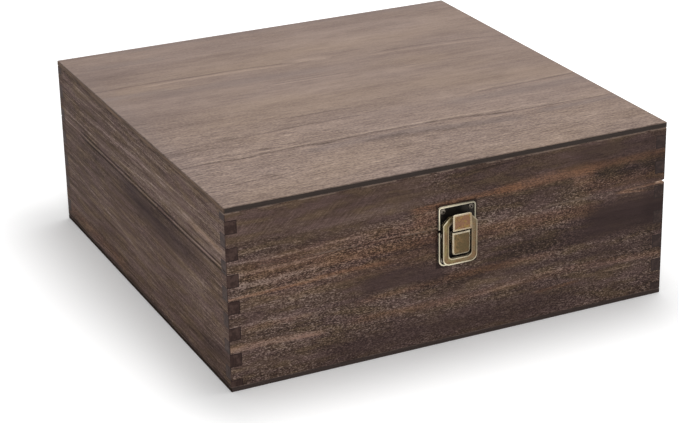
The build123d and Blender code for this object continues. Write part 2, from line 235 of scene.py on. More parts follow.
# %% The long grain group
def make_long_grain():
    bench, given, close = open_group(
        "Long grain",
        {"Place": (0.0, 0.0, 0.0), "Wander": 4.0, "Streak length": 110.0, "Streak height": 3.0,
         "Fibre length": 5.0, "Fibre height": 0.6, "Grit size": 0.7},
        ["Bent across", "Clouds", "Streaks", "Fibres", "Grit", "Pores"])
    along, across, through = bench.split(given["Place"])
    slow = bench.noise(given["Place"], (150.0, 38.0, 38.0), detail=1.0)
    bent = across + (slow - 0.5) * given["Wander"]
    place = bench.join(along, bent, through)
    clouds = bench.noise(place, (95.0, 17.0, 17.0), detail=2.0, shift=(3.1, 7.7, 1.3))

    def layer(length, height, detail, rough, shift):
        u, v, w = [bench.math("DIVIDE", part, size)
                   for part, size in ((along, length), (bent, height), (through, height))]
        return bench.noise(bench.join(u, v, w), (1.0, 1.0, 1.0), detail, rough, shift)

    length, height, grit_size = given["Fibre length"], given["Fibre height"], given["Grit size"]
    streaks = layer(given["Streak length"], given["Streak height"], 4.0, 0.62, (11.0, 5.0, 2.0))
    fibres = layer(length, height, 2.0, 0.6, (0.7, 9.0, 4.0))
    grit = layer(grit_size * 2.2, grit_size * 0.8, 1.0, 0.5, (8.0, 1.0, 3.0))
    pores = bench.spread(layer(length * 2.2, height * 0.6, 1.0, 0.5, (5.0, 2.0, 8.0)), 0.6, 0.74)
    return close(Bent_across=bent, Clouds=clouds, Streaks=streaks, Fibres=fibres, Grit=grit, Pores=pores)


long_grain = make_long_grain()

# %% [markdown]
# ## Rays
# Where a board is cut nearly along the radius of the tree, the rays of the wood cross the grain as fine
# slanting hairlines that catch the light. They are noise again, but turned to a slant before it is
# stretched.

# %% The rays group
def make_rays():
    bench, given, close = open_group(
        "Rays", {"Place": (0.0, 0.0, 0.0), "Slant": 0.75, "Length": 9.0}, ["Rays"])
    along, across, through = bench.split(given["Place"])
    sine, cosine = bench.math("SINE", given["Slant"]), bench.math("COSINE", given["Slant"])
    down_ray = bench.math("DIVIDE", along * cosine + across * sine, given["Length"])
    beside_ray = across * cosine - along * sine
    rays = bench.noise(bench.join(down_ray, beside_ray, through), (1.0, 0.8, 6.0), detail=1.5)
    return close(Rays=rays)


rays_group = make_rays()

# %% [markdown]
# ## End grain
# Where a board is cut across, the stain sinks in and turns it dark, and the growth rings show as faint arcs
# with a sprinkle of pores. The arcs are bands of distance from a line far beside the board, where the heart
# of the tree was.

# %% The end grain group
HEART_DISTANCE = 60.0


def make_end_grain():
    bench, given, close = open_group(
        "End grain", {"Place": (0.0, 0.0, 0.0), "Ring width": 1.7}, ["Rings", "Pores"])
    _, across, through = bench.split(given["Place"])
    wobble = bench.noise(given["Place"], (30.0, 9.0, 9.0), detail=2.0)
    reach = bench.math("SQRT", across * across + (through - HEART_DISTANCE) * (through - HEART_DISTANCE))
    turns = bench.math("DIVIDE", reach + wobble * 3.0, given["Ring width"])
    rings = bench.math("SINE", turns * (2 * math.pi)) * 0.5 + 0.5
    pores = bench.spread(bench.noise(given["Place"], (2.0, 0.6, 0.6), detail=1.0), 0.5, 0.7)
    return close(Rings=rings, Pores=pores)


end_grain = make_end_grain()

# %% [markdown]
# ## A placed streak
# Noise alone gives a believable board, but not this board. The real one has features that anyone would
# point at: a long orange band on the lid, a thin dark line under it, a dark smoky patch near the right end.
# Each is one soft streak along a line, with a half width and two ends that fade. The group gets the line's
# height at each spot and gives the streak as a mask.

# %% The placed streak group
def make_placed_streak():
    bench, given, close = open_group(
        "Placed streak",
        {"Along": 0.0, "Across": 0.0, "Height": 0.0, "Half width": 3.0, "Start": -100.0, "End": 100.0,
         "Fade": 20.0},
        ["Mask"])
    offset = bench.math("ABSOLUTE", given["Across"] - given["Height"])
    body = bench.spread(offset, given["Half width"] * 0.2, given["Half width"], 1.0, 0.0)
    middle = (given["Start"] + given["End"]) * 0.5
    half_length = given["End"] - middle
    from_middle = bench.math("ABSOLUTE", given["Along"] - middle)
    length = bench.spread(from_middle, half_length, half_length + given["Fade"], 1.0, 0.0)
    return close(Mask=body * length)


placed_streak = make_placed_streak()

# %% [markdown]
# ## Edges of a board
# Stain gathers along the edges of a panel as a dark rim, so the finish needs the distance to the nearest
# edge. On a plain board that is quick to work out: of the three distances to its pairs of faces, the
# smallest is about zero because the point lies on a face, and the middle one is the distance to the nearest
# edge.

# %% The board edge group
def make_board_edge():
    bench, given, close = open_group(
        "Board edge",
        {"Place": (0.0, 0.0, 0.0), "Centre": (0.0, 0.0, 0.0), "Half size": (1.0, 1.0, 1.0), "Reach": 1.0},
        ["Edge"])
    offset = bench.node("ShaderNodeVectorMath", {0: given["Place"], 1: given["Centre"]}, operation="SUBTRACT")
    offset = bench.node("ShaderNodeVectorMath", {0: offset}, operation="ABSOLUTE")
    depth = bench.node("ShaderNodeVectorMath", {0: given["Half size"], 1: offset}, operation="SUBTRACT")
    a, b, c = bench.split(depth)
    low, high = bench.math("MINIMUM", a, b), bench.math("MAXIMUM", a, b)
    middle = bench.math("MAXIMUM", low, bench.math("MINIMUM", high, c))
    return close(Edge=bench.spread(middle, 0.0, given["Reach"], 1.0, 0.0))


board_edge = make_board_edge()

# %% [markdown]
# ## Rubbed brass
# Antiqued brass is brass that was blackened and then rubbed, so it is bright wherever a finger reaches,
# brown and olive on the flats, and black in the recesses. One group gives three masks for that: blotches of
# copper colour, fine specks, and the rubbed edges. The rubbed edges are partly wear and partly a painted
# highlight, where a rounded edge would catch the light. The edges come from comparing the true normal with
# one that is averaged over a short distance: the two differ only near an edge.

# %% The rubbed brass group
def make_rubbed_brass():
    bench, given, close = open_group("Rubbed brass", {"Place": (0.0, 0.0, 0.0), "Edge width": 0.3},
                                     ["Blotches", "Specks", "Rubbed"])
    blotches = bench.noise(given["Place"], (3.4, 3.4, 3.4), detail=3.0, rough=0.6)
    specks = bench.noise(given["Place"], (0.5, 0.5, 0.5), detail=2.0, rough=0.6, shift=(4.0, 1.0, 6.0))
    rounded = bench.node("ShaderNodeBevel", {"Radius": given["Edge width"] * MM}, samples=4)
    true = bench.node("ShaderNodeNewGeometry", output="Normal")
    match = bench.node("ShaderNodeVectorMath", {0: rounded, 1: true}, operation="DOT_PRODUCT", output="Value")
    # Rubbed edges: partly wear, partly a painted highlight on edges that a rounding would light.
    rubbed = bench.spread(match, 0.86, 0.995, 1.0, 0.0)
    return close(Blotches=blotches, Specks=specks, Rubbed=rubbed)


rubbed_brass = make_rubbed_brass()

# %% [markdown]
# ## Starting a finish
# Every finish starts alike: a Principled shader, the piece's own coordinates turned into millimetres, and
# the direction that its surface faces, as three numbers from 0 to 1 that say how squarely it faces along
# each axis. The coordinates are the piece's own, so the grain stays with a board when the lid opens.

# %% A helper that starts a finish
def start_finish(name, **fixed):
    """A new material, with its bench, its shader's inputs, the place in millimetres and the facing."""
    material = bpy.data.materials.new(name)
    material.use_nodes = True
    tree = material.node_tree
    shader = tree.nodes["Principled BSDF"]
    bench = Bench(tree)
    for label, value in fixed.items():
        shader.inputs[label.replace("_", " ")].default_value = value
    own = tree.nodes.new("ShaderNodeTexCoord")
    place = bench.node("ShaderNodeVectorMath", {0: Wire(bench, own.outputs["Object"]), "Scale": 1 / MM},
                       operation="SCALE")
    facing = [bench.math("ABSOLUTE", part) for part in bench.split(Wire(bench, own.outputs["Normal"]))]
    return material, bench, shader.inputs, place, facing


def relief(bench, height, depth_mm):
    """A bump of the given depth, for the shader's Normal."""
    return bench.node("ShaderNodeBump", {"Strength": 1.0, "Distance": depth_mm * MM, "Height": height})


print("millimetres in a metre:", round(1 / MM))

# %% [markdown]
# ## Laying the streaks
# A streak is written down as what it does, how strongly, half its width and the points that it runs
# through. It can change the tone, warm the stain, smoke it, show the rays, or smooth the specks. Streaks of
# one kind are added into one mask. Their edges are roughened with the board's own streaks and fibres, so
# that they look grown and not painted.
#
# A line of two points is a plain slope, which takes one node. A line of more points is read from a curve
# node, because a real streak wavers in a way that no formula does. A curve node reads and gives numbers
# from 0 to 1, so each place is first turned into its share of the board. Each mask is added to the sum at
# once, and no value is kept for later: the renderer holds only a limited number of values at a time, and a
# material that needs more of them turns black without a word.

# %% Helpers for streaks
BOARD_LENGTH = 300.0


def streak(kind, weight, half, points, fade=12.0):
    """One streak, in millimetres. half is half its width, and points lists (along, across) in order."""
    return kind, weight, half, points, fade


def lay_streaks(bench, along, across, grain, streaks, low, high, roughness=1.0):
    """Adds up the streaks of each kind; low and high are the lowest and highest place across the board."""
    share = along * (1 / BOARD_LENGTH) + 0.5
    rough_across = across + (grain["Streaks"] - 0.5) * (2.4 * roughness) + (grain["Fibres"] - 0.5) * roughness
    masks = {}
    for kind, weight, half, points, fade in streaks:
        if len(points) == 2:
            slope = (points[1][1] - points[0][1]) / (points[1][0] - points[0][0])
            height = bench.math("MULTIPLY_ADD", along, slope, points[0][1] - slope * points[0][0])
        else:
            drawn = [(x / BOARD_LENGTH + 0.5, (z - low) / (high - low)) for x, z in points]
            height = bench.curve(share, drawn) * (high - low) + low
        mask = bench.use(placed_streak, Along=along, Across=rough_across, Height=height, Half_width=half,
                         Start=points[0][0], End=points[-1][0], Fade=fade)["Mask"] * weight
        masks[kind] = masks[kind] + mask if kind in masks else mask
    return masks


print("streaks are placed along", BOARD_LENGTH, "mm")

# %% [markdown]
# ## Stained boards
# All walls and rails get the same recipe, with the grain along the board. The tone of each spot is a sum:
# clouds, streaks, fibres and grit, plus the streaks placed by hand. Slow noise makes some patches rougher
# than others. A light speck stands out more than a dark one, because a torn fibre stands up and catches the
# light.

# %% The tone of a board
def board_tone(bench, grain_place, z, grain, marks, base, lid_tone, streaky, fibre, grit):
    """Adds up all that makes a spot lighter or darker. lid_tone is added above the seam."""
    patches = bench.noise(grain_place, (60.0, 22.0, 22.0), shift=(2.0, 3.0, 9.0))
    rough_patch = bench.spread(patches, 0.36, 0.58)
    specks = (grain["Fibres"] - 0.5) * fibre + (grain["Grit"] - 0.5) * grit
    if "smooth" in marks:
        specks = specks * (1.0 - marks["smooth"])
    specks = specks * (specks * 0.7 + 1.0)
    tone = ((grain["Clouds"] - 0.5) * 0.55 + (grain["Streaks"] - 0.5) * streaky
            + specks * (rough_patch * 0.5 + 0.56))
    tone = tone + bench.math("GREATER_THAN", z, seam_height) * lid_tone + base
    if "tone" in marks:
        tone = tone + marks["tone"] * (grain["Grit"] + grain["Fibres"] * 0.5 + grain["Streaks"] * 0.4)
    if "rays" in marks:
        rays = bench.use(rays_group, Place=grain_place)["Rays"]
        tone = tone + (rays - 0.5) * marks["rays"]
    return tone - grain["Pores"] * 0.14


print("the lid's own tone begins at a height of", round(seam_height, 1), "mm")

# %% [markdown]
# Shade is painted where the light doesn't reach: a soft frame of painted shade round the latch's plates,
# and two thin lines of painted shade above and below the seam, with a lighter line between them, right at
# the seam. Near the far end of the left side the lines are fainter.

# %% Painted shade on a board
SEAM_MIDDLE, SEAM_SHADE_REACH = seam_height + 0.4, 2.9


def paint_seam_and_plate_shade(bench, tone, x, z, along, fitting, seam_shade):
    """Darkens the tone with painted shade round the fitting's plates and along the seam."""
    if fitting is not None:
        plate_half, plate_low, plate_high = fitting
        beside = bench.math("ABSOLUTE", x) - plate_half
        above = bench.math("ABSOLUTE", z - (plate_low + plate_high) / 2) - (plate_high - plate_low) / 2
        # Painted shade in a soft frame round the plates.
        tone = tone - bench.spread(bench.math("MAXIMUM", beside, above), 0.6, 2.1, 0.5, 0.0)
    if seam_shade:
        # Painted shade in two thin lines along the seam, and a lighter line right at the seam.
        from_seam = bench.math("ABSOLUTE", z - SEAM_MIDDLE)
        band = bench.spread(from_seam, 0.7, 1.1) * bench.spread(from_seam, 2.0, SEAM_SHADE_REACH, 1.0, 0.0)
        tone = tone - band * bench.spread(along, 100.0, 116.0, seam_shade, seam_shade * 0.2)
        tone = tone + bench.spread(from_seam, 0.4, 0.9, 0.26, 0.0)
    return tone


print("the seam's painted shade ends", round(SEAM_MIDDLE + SEAM_SHADE_REACH, 1), "mm above the ground")

# %% [markdown]
# A colour ramp turns the tone into stained wood, from purple-black where the stain pooled to tan where it
# hardly took. One ramp alone looks printed, so a slow noise leans some patches to olive and others to
# purple. The warm and the smoky streaks are laid over that; each has its own dark and light colour, so that
# the grain still shows through it.

# %% The colour of a board
STAINED_WOOD = [(0.0, stain(39, 29, 25)), (0.25, stain(61, 46, 39)), (0.5, stain(88, 69, 60)),
                (0.75, stain(117, 98, 88)), (1.0, stain(153, 133, 122))]


def board_colour(bench, grain_place, grain, marks, tone):
    """The colour of the long faces at each tone."""
    colour = bench.ramp(tone, STAINED_WOOD)
    hue = bench.noise(grain_place, (24.0, 6.0, 6.0), detail=2.0, shift=(7.0, 2.5, 1.0))
    olive = bench.tint(tone, stain(48, 38, 26), stain(140, 115, 84))
    purple = bench.tint(tone, stain(46, 34, 37), stain(134, 107, 104))
    colour = bench.tint(bench.spread(hue, 0.5, 0.64, 0.0, 0.35), colour, olive)
    colour = bench.tint(bench.spread(hue, 0.5, 0.36, 0.0, 0.35), colour, purple)
    if "warm" in marks:
        patchy = bench.spread(grain["Streaks"] + (grain["Grit"] - 0.5) * 0.8, 0.3, 0.66, 0.4, 1.1)
        warmth = marks["warm"] * patchy
        orange = bench.tint(tone, stain(68, 43, 31), stain(150, 109, 82))
        colour = bench.tint(warmth, colour, orange)
    if "smoke" in marks:
        smoky = bench.tint(tone, stain(46, 33, 32), stain(82, 63, 60))
        colour = bench.tint(marks["smoke"], colour, smoky)
    return colour


print("stained wood runs through", len(STAINED_WOOD), "colours")

# %% [markdown]
# The fingers of the corner joints show end grain: darker, with rings, pores and lighter blotches. A dark
# glue line runs round each finger. Its place follows from the finger height and the wall's thickness, so no
# mask has to be drawn.

# %% The colour of a board's ends
END_STAIN = stain(63, 48, 44)


def end_colour(bench, grain_place, x, z, through):
    """End grain with the glue lines round the fingers."""
    ends = bench.use(end_grain, Place=grain_place)
    colour = bench.tint(ends["Rings"] * 0.45, END_STAIN, stain(50, 38, 36))
    colour = bench.tint(ends["Pores"] * 0.5, colour, stain(40, 30, 29))
    blotched = bench.noise(grain_place, (9.0, 3.4, 3.4), detail=2.0, shift=(1.0, 8.0, 5.0))
    colour = bench.tint(bench.spread(blotched, 0.44, 0.64, 0.0, 0.5), colour, stain(92, 73, 67))
    step = bench.math("FRACT", bench.math("DIVIDE", z - finger_start, finger_height) + 0.5)
    to_finger_line = bench.math("ABSOLUTE", step - 0.5) * finger_height
    to_wall_line = bench.math("ABSOLUTE", bench.math("ABSOLUTE", through) - (half_width - wall_thickness))
    joint = bench.spread(bench.math("MINIMUM", to_finger_line, to_wall_line), 0.15, 0.75, 0.8, 0.0)
    colour = bench.tint(joint, colour, stain(36, 28, 28))
    return bench.tint(bench.spread(x, 130.0, 145.0, 0.0, 0.35), colour, stain(34, 28, 27))


print("a glue line every", finger_height, "mm")

# %% [markdown]
# The lid was sawn from the base after staining, so the faces of the seam are raw and pale, and so is the
# wedge that broke out of the lid's corner. The saw left fibres standing, which the raw colour shows as
# darker lines.

# %% Raw wood
RAW_WOOD = stain(226, 200, 180)


def add_raw_wood(bench, colour, grain, along, z, facing, broken_end):
    """Lays raw wood on the sawn faces and, past broken_end, on the splinter."""
    near_seam = bench.math("LESS_THAN", bench.math("ABSOLUTE", z - (seam_height + 1.0)), 1.3)
    raw = bench.math("GREATER_THAN", facing[2], 0.9) * near_seam
    if broken_end is not None:
        from_break = bench.math("ABSOLUTE", z - (seam_height + 0.5))
        splinter = bench.spread(from_break, 0.5, 1.0, 1.0, 0.0)
        splinter = splinter * bench.spread(along, broken_end, broken_end + 3.0)
        raw = bench.math("MAXIMUM", raw, splinter)
    raw_colour = bench.tint(bench.spread(grain["Fibres"], 0.3, 0.7), RAW_WOOD, stain(188, 152, 126))
    torn = bench.spread(grain["Streaks"], 0.4, 0.62, 0.0, 0.6)
    raw_colour = bench.tint(torn, raw_colour, stain(172, 136, 112))
    return bench.tint(raw, colour, raw_colour)


print("raw wood in linear values:", [round(v, 2) for v in RAW_WOOD])

# %% [markdown]
# Handling rubs the stain off the eased edges in places. The eased edges are the faces that look half up,
# and a noise decides where they are rubbed. The edge right under the top panel is lightened along most of
# the front, partly as worn stain and partly as a painted highlight where that edge would catch the light.

# %% Rubbed edges, and a painted highlight under the top panel
# Worn stain; on the line under the top panel it also serves as a painted highlight.
WORN_AND_LIT_WOOD = stain(132, 114, 102)


def wear_and_highlight_edges(bench, colour, grain_place, z, facing, top_wear_and_highlight):
    """Lays worn wood on the eased edges, and on the line under the top panel as worn stain and painted
    highlight.
    """
    eased = bench.spread(facing[2], 0.25, 0.5) * bench.spread(facing[2], 0.8, 0.9, 1.0, 0.0)
    rubbed = bench.spread(bench.noise(grain_place, (14.0, 14.0, 14.0), detail=3.0, rough=0.7), 0.44, 0.58)
    colour = bench.tint(eased * rubbed * 0.75, colour, WORN_AND_LIT_WOOD)
    if top_wear_and_highlight:
        # The line under the top panel: partly worn stain, partly a painted highlight on that edge.
        worn_and_lit_line = bench.spread(bench.math("ABSOLUTE", z - (rail_top - 0.3)), 0.15, 0.4, top_wear_and_highlight, 0.0)
        colour = bench.tint(worn_and_lit_line * rubbed, colour, WORN_AND_LIT_WOOD)
    return colour


print("the wood is rubbed just below", round(rail_top, 1), "mm")

# %% [markdown]
# The finish puts these steps together. What differs from board to board is an argument with a plain
# default, so a quiet board needs hardly any. Two of them set sizes of the grain: the long fibres make the
# left side look combed, and the small grit makes the front look sanded.

# %% The stained board finish
def make_board(name, along_axis, streaks, wander=4.0, base=0.46, lid_tone=0.0, streaky=0.85, fibre=0.5,
               grit=0.5, fibre_length=5.0, grit_size=0.7, fitting=None, broken_end=None, seam_shade=0.0,
               top_wear_and_highlight=0.0, gloss=0.15):
    """Stained wood with its grain along X (0) or Y (1). Lengths are in millimetres.

    wander is how far the grain bends, and base is the middle tone. streaky, fibre and grit say how
    strongly the streaks, the fibres and the specks show. fitting is half the width, the foot and the top
    of the plates that the painted shade frames. broken_end is where the raw splinter at the seam begins.
    seam_shade is how dark the painted shade along the seam is, and top_wear_and_highlight is how strongly the
    line under the panel is lightened, partly as worn stain and partly as a painted highlight.
    """
    material, bench, shader, place, facing = start_finish(name, Specular_IOR_Level=gloss)
    x, y, z = bench.split(place)
    along, through = (x, y) if along_axis == 0 else (y, x)
    grain_place = bench.join(along, z, through)
    grain = bench.use(long_grain, Place=grain_place, Wander=wander, Fibre_length=fibre_length,
                      Grit_size=grit_size)
    marks = lay_streaks(bench, along, grain["Bent across"], grain, streaks, 0.0, box_height)
    tone = board_tone(bench, grain_place, z, grain, marks, base, lid_tone, streaky, fibre, grit)
    tone = paint_seam_and_plate_shade(bench, tone, x, z, along, fitting, seam_shade)
    colour = board_colour(bench, grain_place, grain, marks, tone)
    ends = end_colour(bench, grain_place, x, z, through)
    on_end = bench.math("GREATER_THAN", facing[along_axis], 0.7)
    colour = bench.tint(on_end, colour, ends)
    colour = add_raw_wood(bench, colour, grain, along, z, facing, broken_end)
    colour = wear_and_highlight_edges(bench, colour, grain_place, z, facing, top_wear_and_highlight)
    bench.feed(shader["Base Color"], colour)
    bench.feed(shader["Roughness"], 0.72 - tone * 0.2 + grain["Pores"] * 0.15)
    height = grain["Fibres"] * 0.5 + grain["Streaks"] + grain["Grit"] * 0.3 - grain["Pores"] * 0.6
    bench.feed(shader["Normal"], relief(bench, height, 0.1))
    print("finish", name, "has", len(streaks), "placed streaks")
    return material


# %% [markdown]
# ## The front
# The board runs on across the seam, because the box was glued up closed and the lid sawn off afterwards.
# From the left, light streaks fan out above and below the seam, under a calm zone with slanting rays. An
# orange band starts behind the latch and climbs to the right with a thin dark line under it. The right end
# and the foot are smoky. The wood is rough in the middle and smooth above, at the right end and in the
# smoky patch left of the latch.

# %% The front's streaks, left of the latch
latch_plates = (span_mm("latch_base_plate", 0)[1], span_mm("latch_base_plate", 2)[0],
                span_mm("latch_hook_plate", 2)[1])
front_left = [
    streak("tone", 0.14, 17.0, [(-150, 103), (-60, 103), (-20, 106)], 24.0),
    streak("rays", 0.6, 16.0, [(-150, 102), (-70, 100), (-56, 102)], 18.0),
    streak("smooth", 0.8, 20.0, [(-150, 104), (-70, 103), (-40, 104)], 40.0),
    streak("smooth", 0.6, 20.0, [(10, 106), (150, 104)], 30.0),
    streak("smoke", 0.3, 8.0, [(-36, 100), (-14, 101)], 12.0),
    streak("tone", 0.24, 0.7, [(-142, 87.6), (-103, 87.8)], 5.0),
    streak("tone", 0.3, 1.0, [(-142, 81.8), (-112, 81.4), (-90, 82.6), (-66, 83.2)], 10.0),
    streak("warm", 0.34, 9.0, [(-130, 76), (-60, 80), (-30, 80)], 24.0),
    streak("tone", 0.16, 3.6, [(-90, 79.5), (-66, 80.5)], 14.0),
    streak("tone", 0.26, 1.3, [(-142, 74.8), (-112, 74.8), (-92, 76.2)], 16.0),
    streak("tone", 0.4, 2.4, [(-142, 67.3), (-118, 67.2), (-96, 69.2)], 24.0),
    streak("warm", 0.5, 1.6, [(-150, 59.6), (-130, 60.2), (-104, 60.6)], 14.0),
    streak("tone", 0.3, 1.8, [(-150, 59.8), (-130, 60.4), (-100, 61.4), (-80, 60.2)], 16.0),
    streak("warm", 0.45, 2.2, [(-90, 62.0), (-66, 62.8), (-50, 62.4)], 10.0),
    streak("tone", 0.14, 1.6, [(-90, 62.0), (-50, 62.4)], 12.0),
    streak("tone", 0.16, 1.2, [(-142, 51.6), (-118, 52.4), (-94, 52.2)], 12.0),
    streak("tone", 0.22, 1.2, [(-150, 41.6), (-124, 41.4), (-104, 40.2)], 12.0),
    streak("warm", 0.25, 2.6, [(-134, 39.4), (-104, 39.6)], 12.0),
    streak("tone", 0.4, 2.4, [(-150, 27.6), (-120, 27.8), (-96, 26.6)], 12.0),
    streak("warm", 0.35, 3.0, [(-150, 28.0), (-122, 28.0), (-94, 26.4)], 8.0),
    streak("tone", 0.13, 30.0, [(-150, 50), (-108, 50)], 26.0),
    streak("warm", 0.24, 16.0, [(-110, 64), (-30, 66)], 40.0),
    streak("tone", 0.2, 14.0, [(-150, 17), (-106, 17)], 24.0),
    streak("tone", -0.14, 3.4, [(-142, 78.4), (-108, 78.4)], 10.0),
    streak("tone", -0.12, 3.0, [(-142, 71.2), (-100, 71.6)], 16.0),
    streak("tone", -0.14, 4.6, [(-142, 46.2), (-96, 46.4)], 20.0),
    streak("tone", -0.1, 3.4, [(-142, 34.6), (-100, 34.0)], 20.0),
    streak("smoke", 0.75, 9.0, [(-58, 49), (-40, 50.5), (-14, 48.5)], 12.0),
    streak("warm", 0.3, 5.0, [(-80, 71), (-14, 71)], 30.0),
    streak("warm", 0.3, 3.0, [(-58, 40.6), (-14, 42.4), (30, 43.2)], 16.0),
    streak("warm", 0.35, 4.0, [(-60, 28.8), (0, 28.0)], 20.0),
    streak("warm", 0.4, 9.0, [(-25, 86), (-15, 86)], 6.0),
    streak("tone", 0.3, 2.0, [(-19, 88.4), (-14, 88.2)], 4.0),
    streak("tone", -0.16, 0.7, [(-56, 89.4), (-26, 89.0)], 8.0),
    streak("tone", 0.34, 0.5, [(-52, 78.0), (-14, 78.0)], 8.0),
    streak("tone", -0.34, 0.6, [(-90, 76.8), (-14, 76.8)], 20.0),
]
print("left of the latch:", len(front_left), "streaks")

# %% [markdown]
# To the right of the latch the orange band is what everyone sees first, and the smoky patch near the end
# comes second. A negative weight of the kind "smooth" makes the wood rougher, which the middle of the wall
# is.

# %% The front's streaks, right of the latch
front_right = [
    streak("warm", 0.75, 2.8, [(-26, 91.8), (-10, 92.6), (20, 94.2), (40, 95)], 8.0),
    streak("warm", 0.7, 5.6, [(36, 94.4), (64, 96.4), (92, 97.4)], 16.0),
    streak("warm", 0.5, 4.4, [(104, 97.6), (150, 97.6)], 10.0),
    streak("tone", 0.12, 4.4, [(44, 95.4), (64, 96.6), (96, 96.0)], 12.0),
    streak("tone", 0.2, 8.0, [(85, 91), (95, 91)], 5.0),
    streak("tone", -0.05, 1.0, [(16, 89.2), (48, 89.6), (70, 90.8), (84, 91.6)], 6.0),
    streak("tone", -0.14, 1.2, [(98, 92.6), (116, 91.2), (140, 91.0)], 14.0),
    streak("warm", 0.3, 7.0, [(96, 84), (144, 84)], 14.0),
    streak("tone", -0.14, 15.0, [(100, 93), (150, 92)], 24.0),
    streak("warm", 0.35, 8.0, [(85, 92), (95, 92)], 5.0),
    streak("tone", 0.1, 5.0, [(16, 74.6), (60, 75.4), (100, 78)], 16.0),
    streak("warm", 0.45, 7.0, [(16, 70), (90, 69)], 18.0),
    streak("tone", -0.18, 9.0, [(-14, 40), (10, 41), (40, 51), (80, 52)], 24.0),
    streak("tone", 0.28, 1.1, [(120, 75.6), (133, 74.0)], 6.0),
    streak("warm", 0.5, 1.4, [(118, 75.9), (133, 74.2)], 6.0),
    streak("tone", 0.34, 0.9, [(122, 77.2), (146, 77.6)], 6.0),
    streak("warm", 0.5, 1.2, [(122, 77.2), (146, 77.6)], 6.0),
    streak("tone", -0.14, 14.0, [(104, 61), (150, 60)], 26.0),
    streak("smoke", 0.92, 13.5, [(104, 61), (124, 62.5), (150, 60.5)], 26.0),
    streak("smoke", 0.5, 6.0, [(86, 50), (146, 51.5)], 16.0),
    streak("tone", 0.14, 1.2, [(84, 46.4), (100, 46.0), (112, 44.6), (126, 44.4), (146, 43.4)], 8.0),
    streak("warm", 0.3, 3.6, [(0, 44.6), (60, 44.0)], 16.0),
    streak("smoke", 0.6, 4.4, [(42, 38.8), (90, 38.4), (150, 38.4)], 16.0),
    streak("tone", 0.08, 2.6,
           [(24, 28.4), (44, 30.4), (62, 31.8), (82, 31.4), (110, 30.0), (150, 29.4)], 14.0),
    streak("tone", 0.22, 1.2, [(22, 28.2), (42, 30.2), (60, 31.8), (76, 32.2)], 12.0),
    streak("warm", 0.26, 3.4, [(20, 28.6), (62, 31), (150, 28.6)], 14.0),
    streak("tone", 0.2, 0.9, [(96, 24.4), (116, 23.8), (132, 24.2), (148, 25.4)], 8.0),
    streak("tone", -0.16, 0.9, [(60, 26.6), (90, 25.8), (112, 22.2)], 10.0),
    streak("warm", 0.5, 1.6, [(60, 20.6), (82, 21.4)], 8.0),
    streak("smoke", 0.7, 14.0, [(-72, 10), (-40, 12), (0, 14), (62, 12)], 34.0),
    streak("tone", -0.05, 9.0, [(84, 13), (146, 13)], 14.0),
    streak("tone", -0.1, 7.0, [(96, 107), (150, 107)], 20.0),
    streak("smoke", 0.55, 6.5, [(92, 108), (120, 107), (150, 107)], 20.0),
    streak("tone", -0.16, 0.8, [(8, 109.6), (30, 111.4), (48, 113)], 8.0),
    streak("tone", -0.16, 60.0, [(140, 60), (150, 60)], 10.0),
    streak("rays", 0.35, 10.0, [(50, 93), (70, 94)], 14.0),
    streak("smooth", -0.4, 17.0, [(-150, 73), (60, 72)], 40.0),
    streak("smooth", 0.8, 18.0, [(104, 60), (150, 60)], 30.0),
    streak("smooth", 0.6, 9.0, [(-58, 50), (-14, 49)], 12.0),
]
SPLINTER_LENGTH = 8.0
front_wood = make_board("front wall wood", 0, front_left + front_right, wander=3.0, base=0.385, streaky=0.42,
                        fibre=0.95, grit=2.1, grit_size=0.52, fitting=latch_plates,
                        broken_end=half_width - SPLINTER_LENGTH, top_wear_and_highlight=0.75)

# %% [markdown]
# ## The other walls
# The left side's lid rail is lighter than the wall below it, with a few straight light streaks along it.
# The wall below is quieter and darker, with faint streaks that slope down towards the front. Its fibres are
# long and its sheen is low. The right side and the back aren't in the photograph, so they get calm boards
# of the same stain.

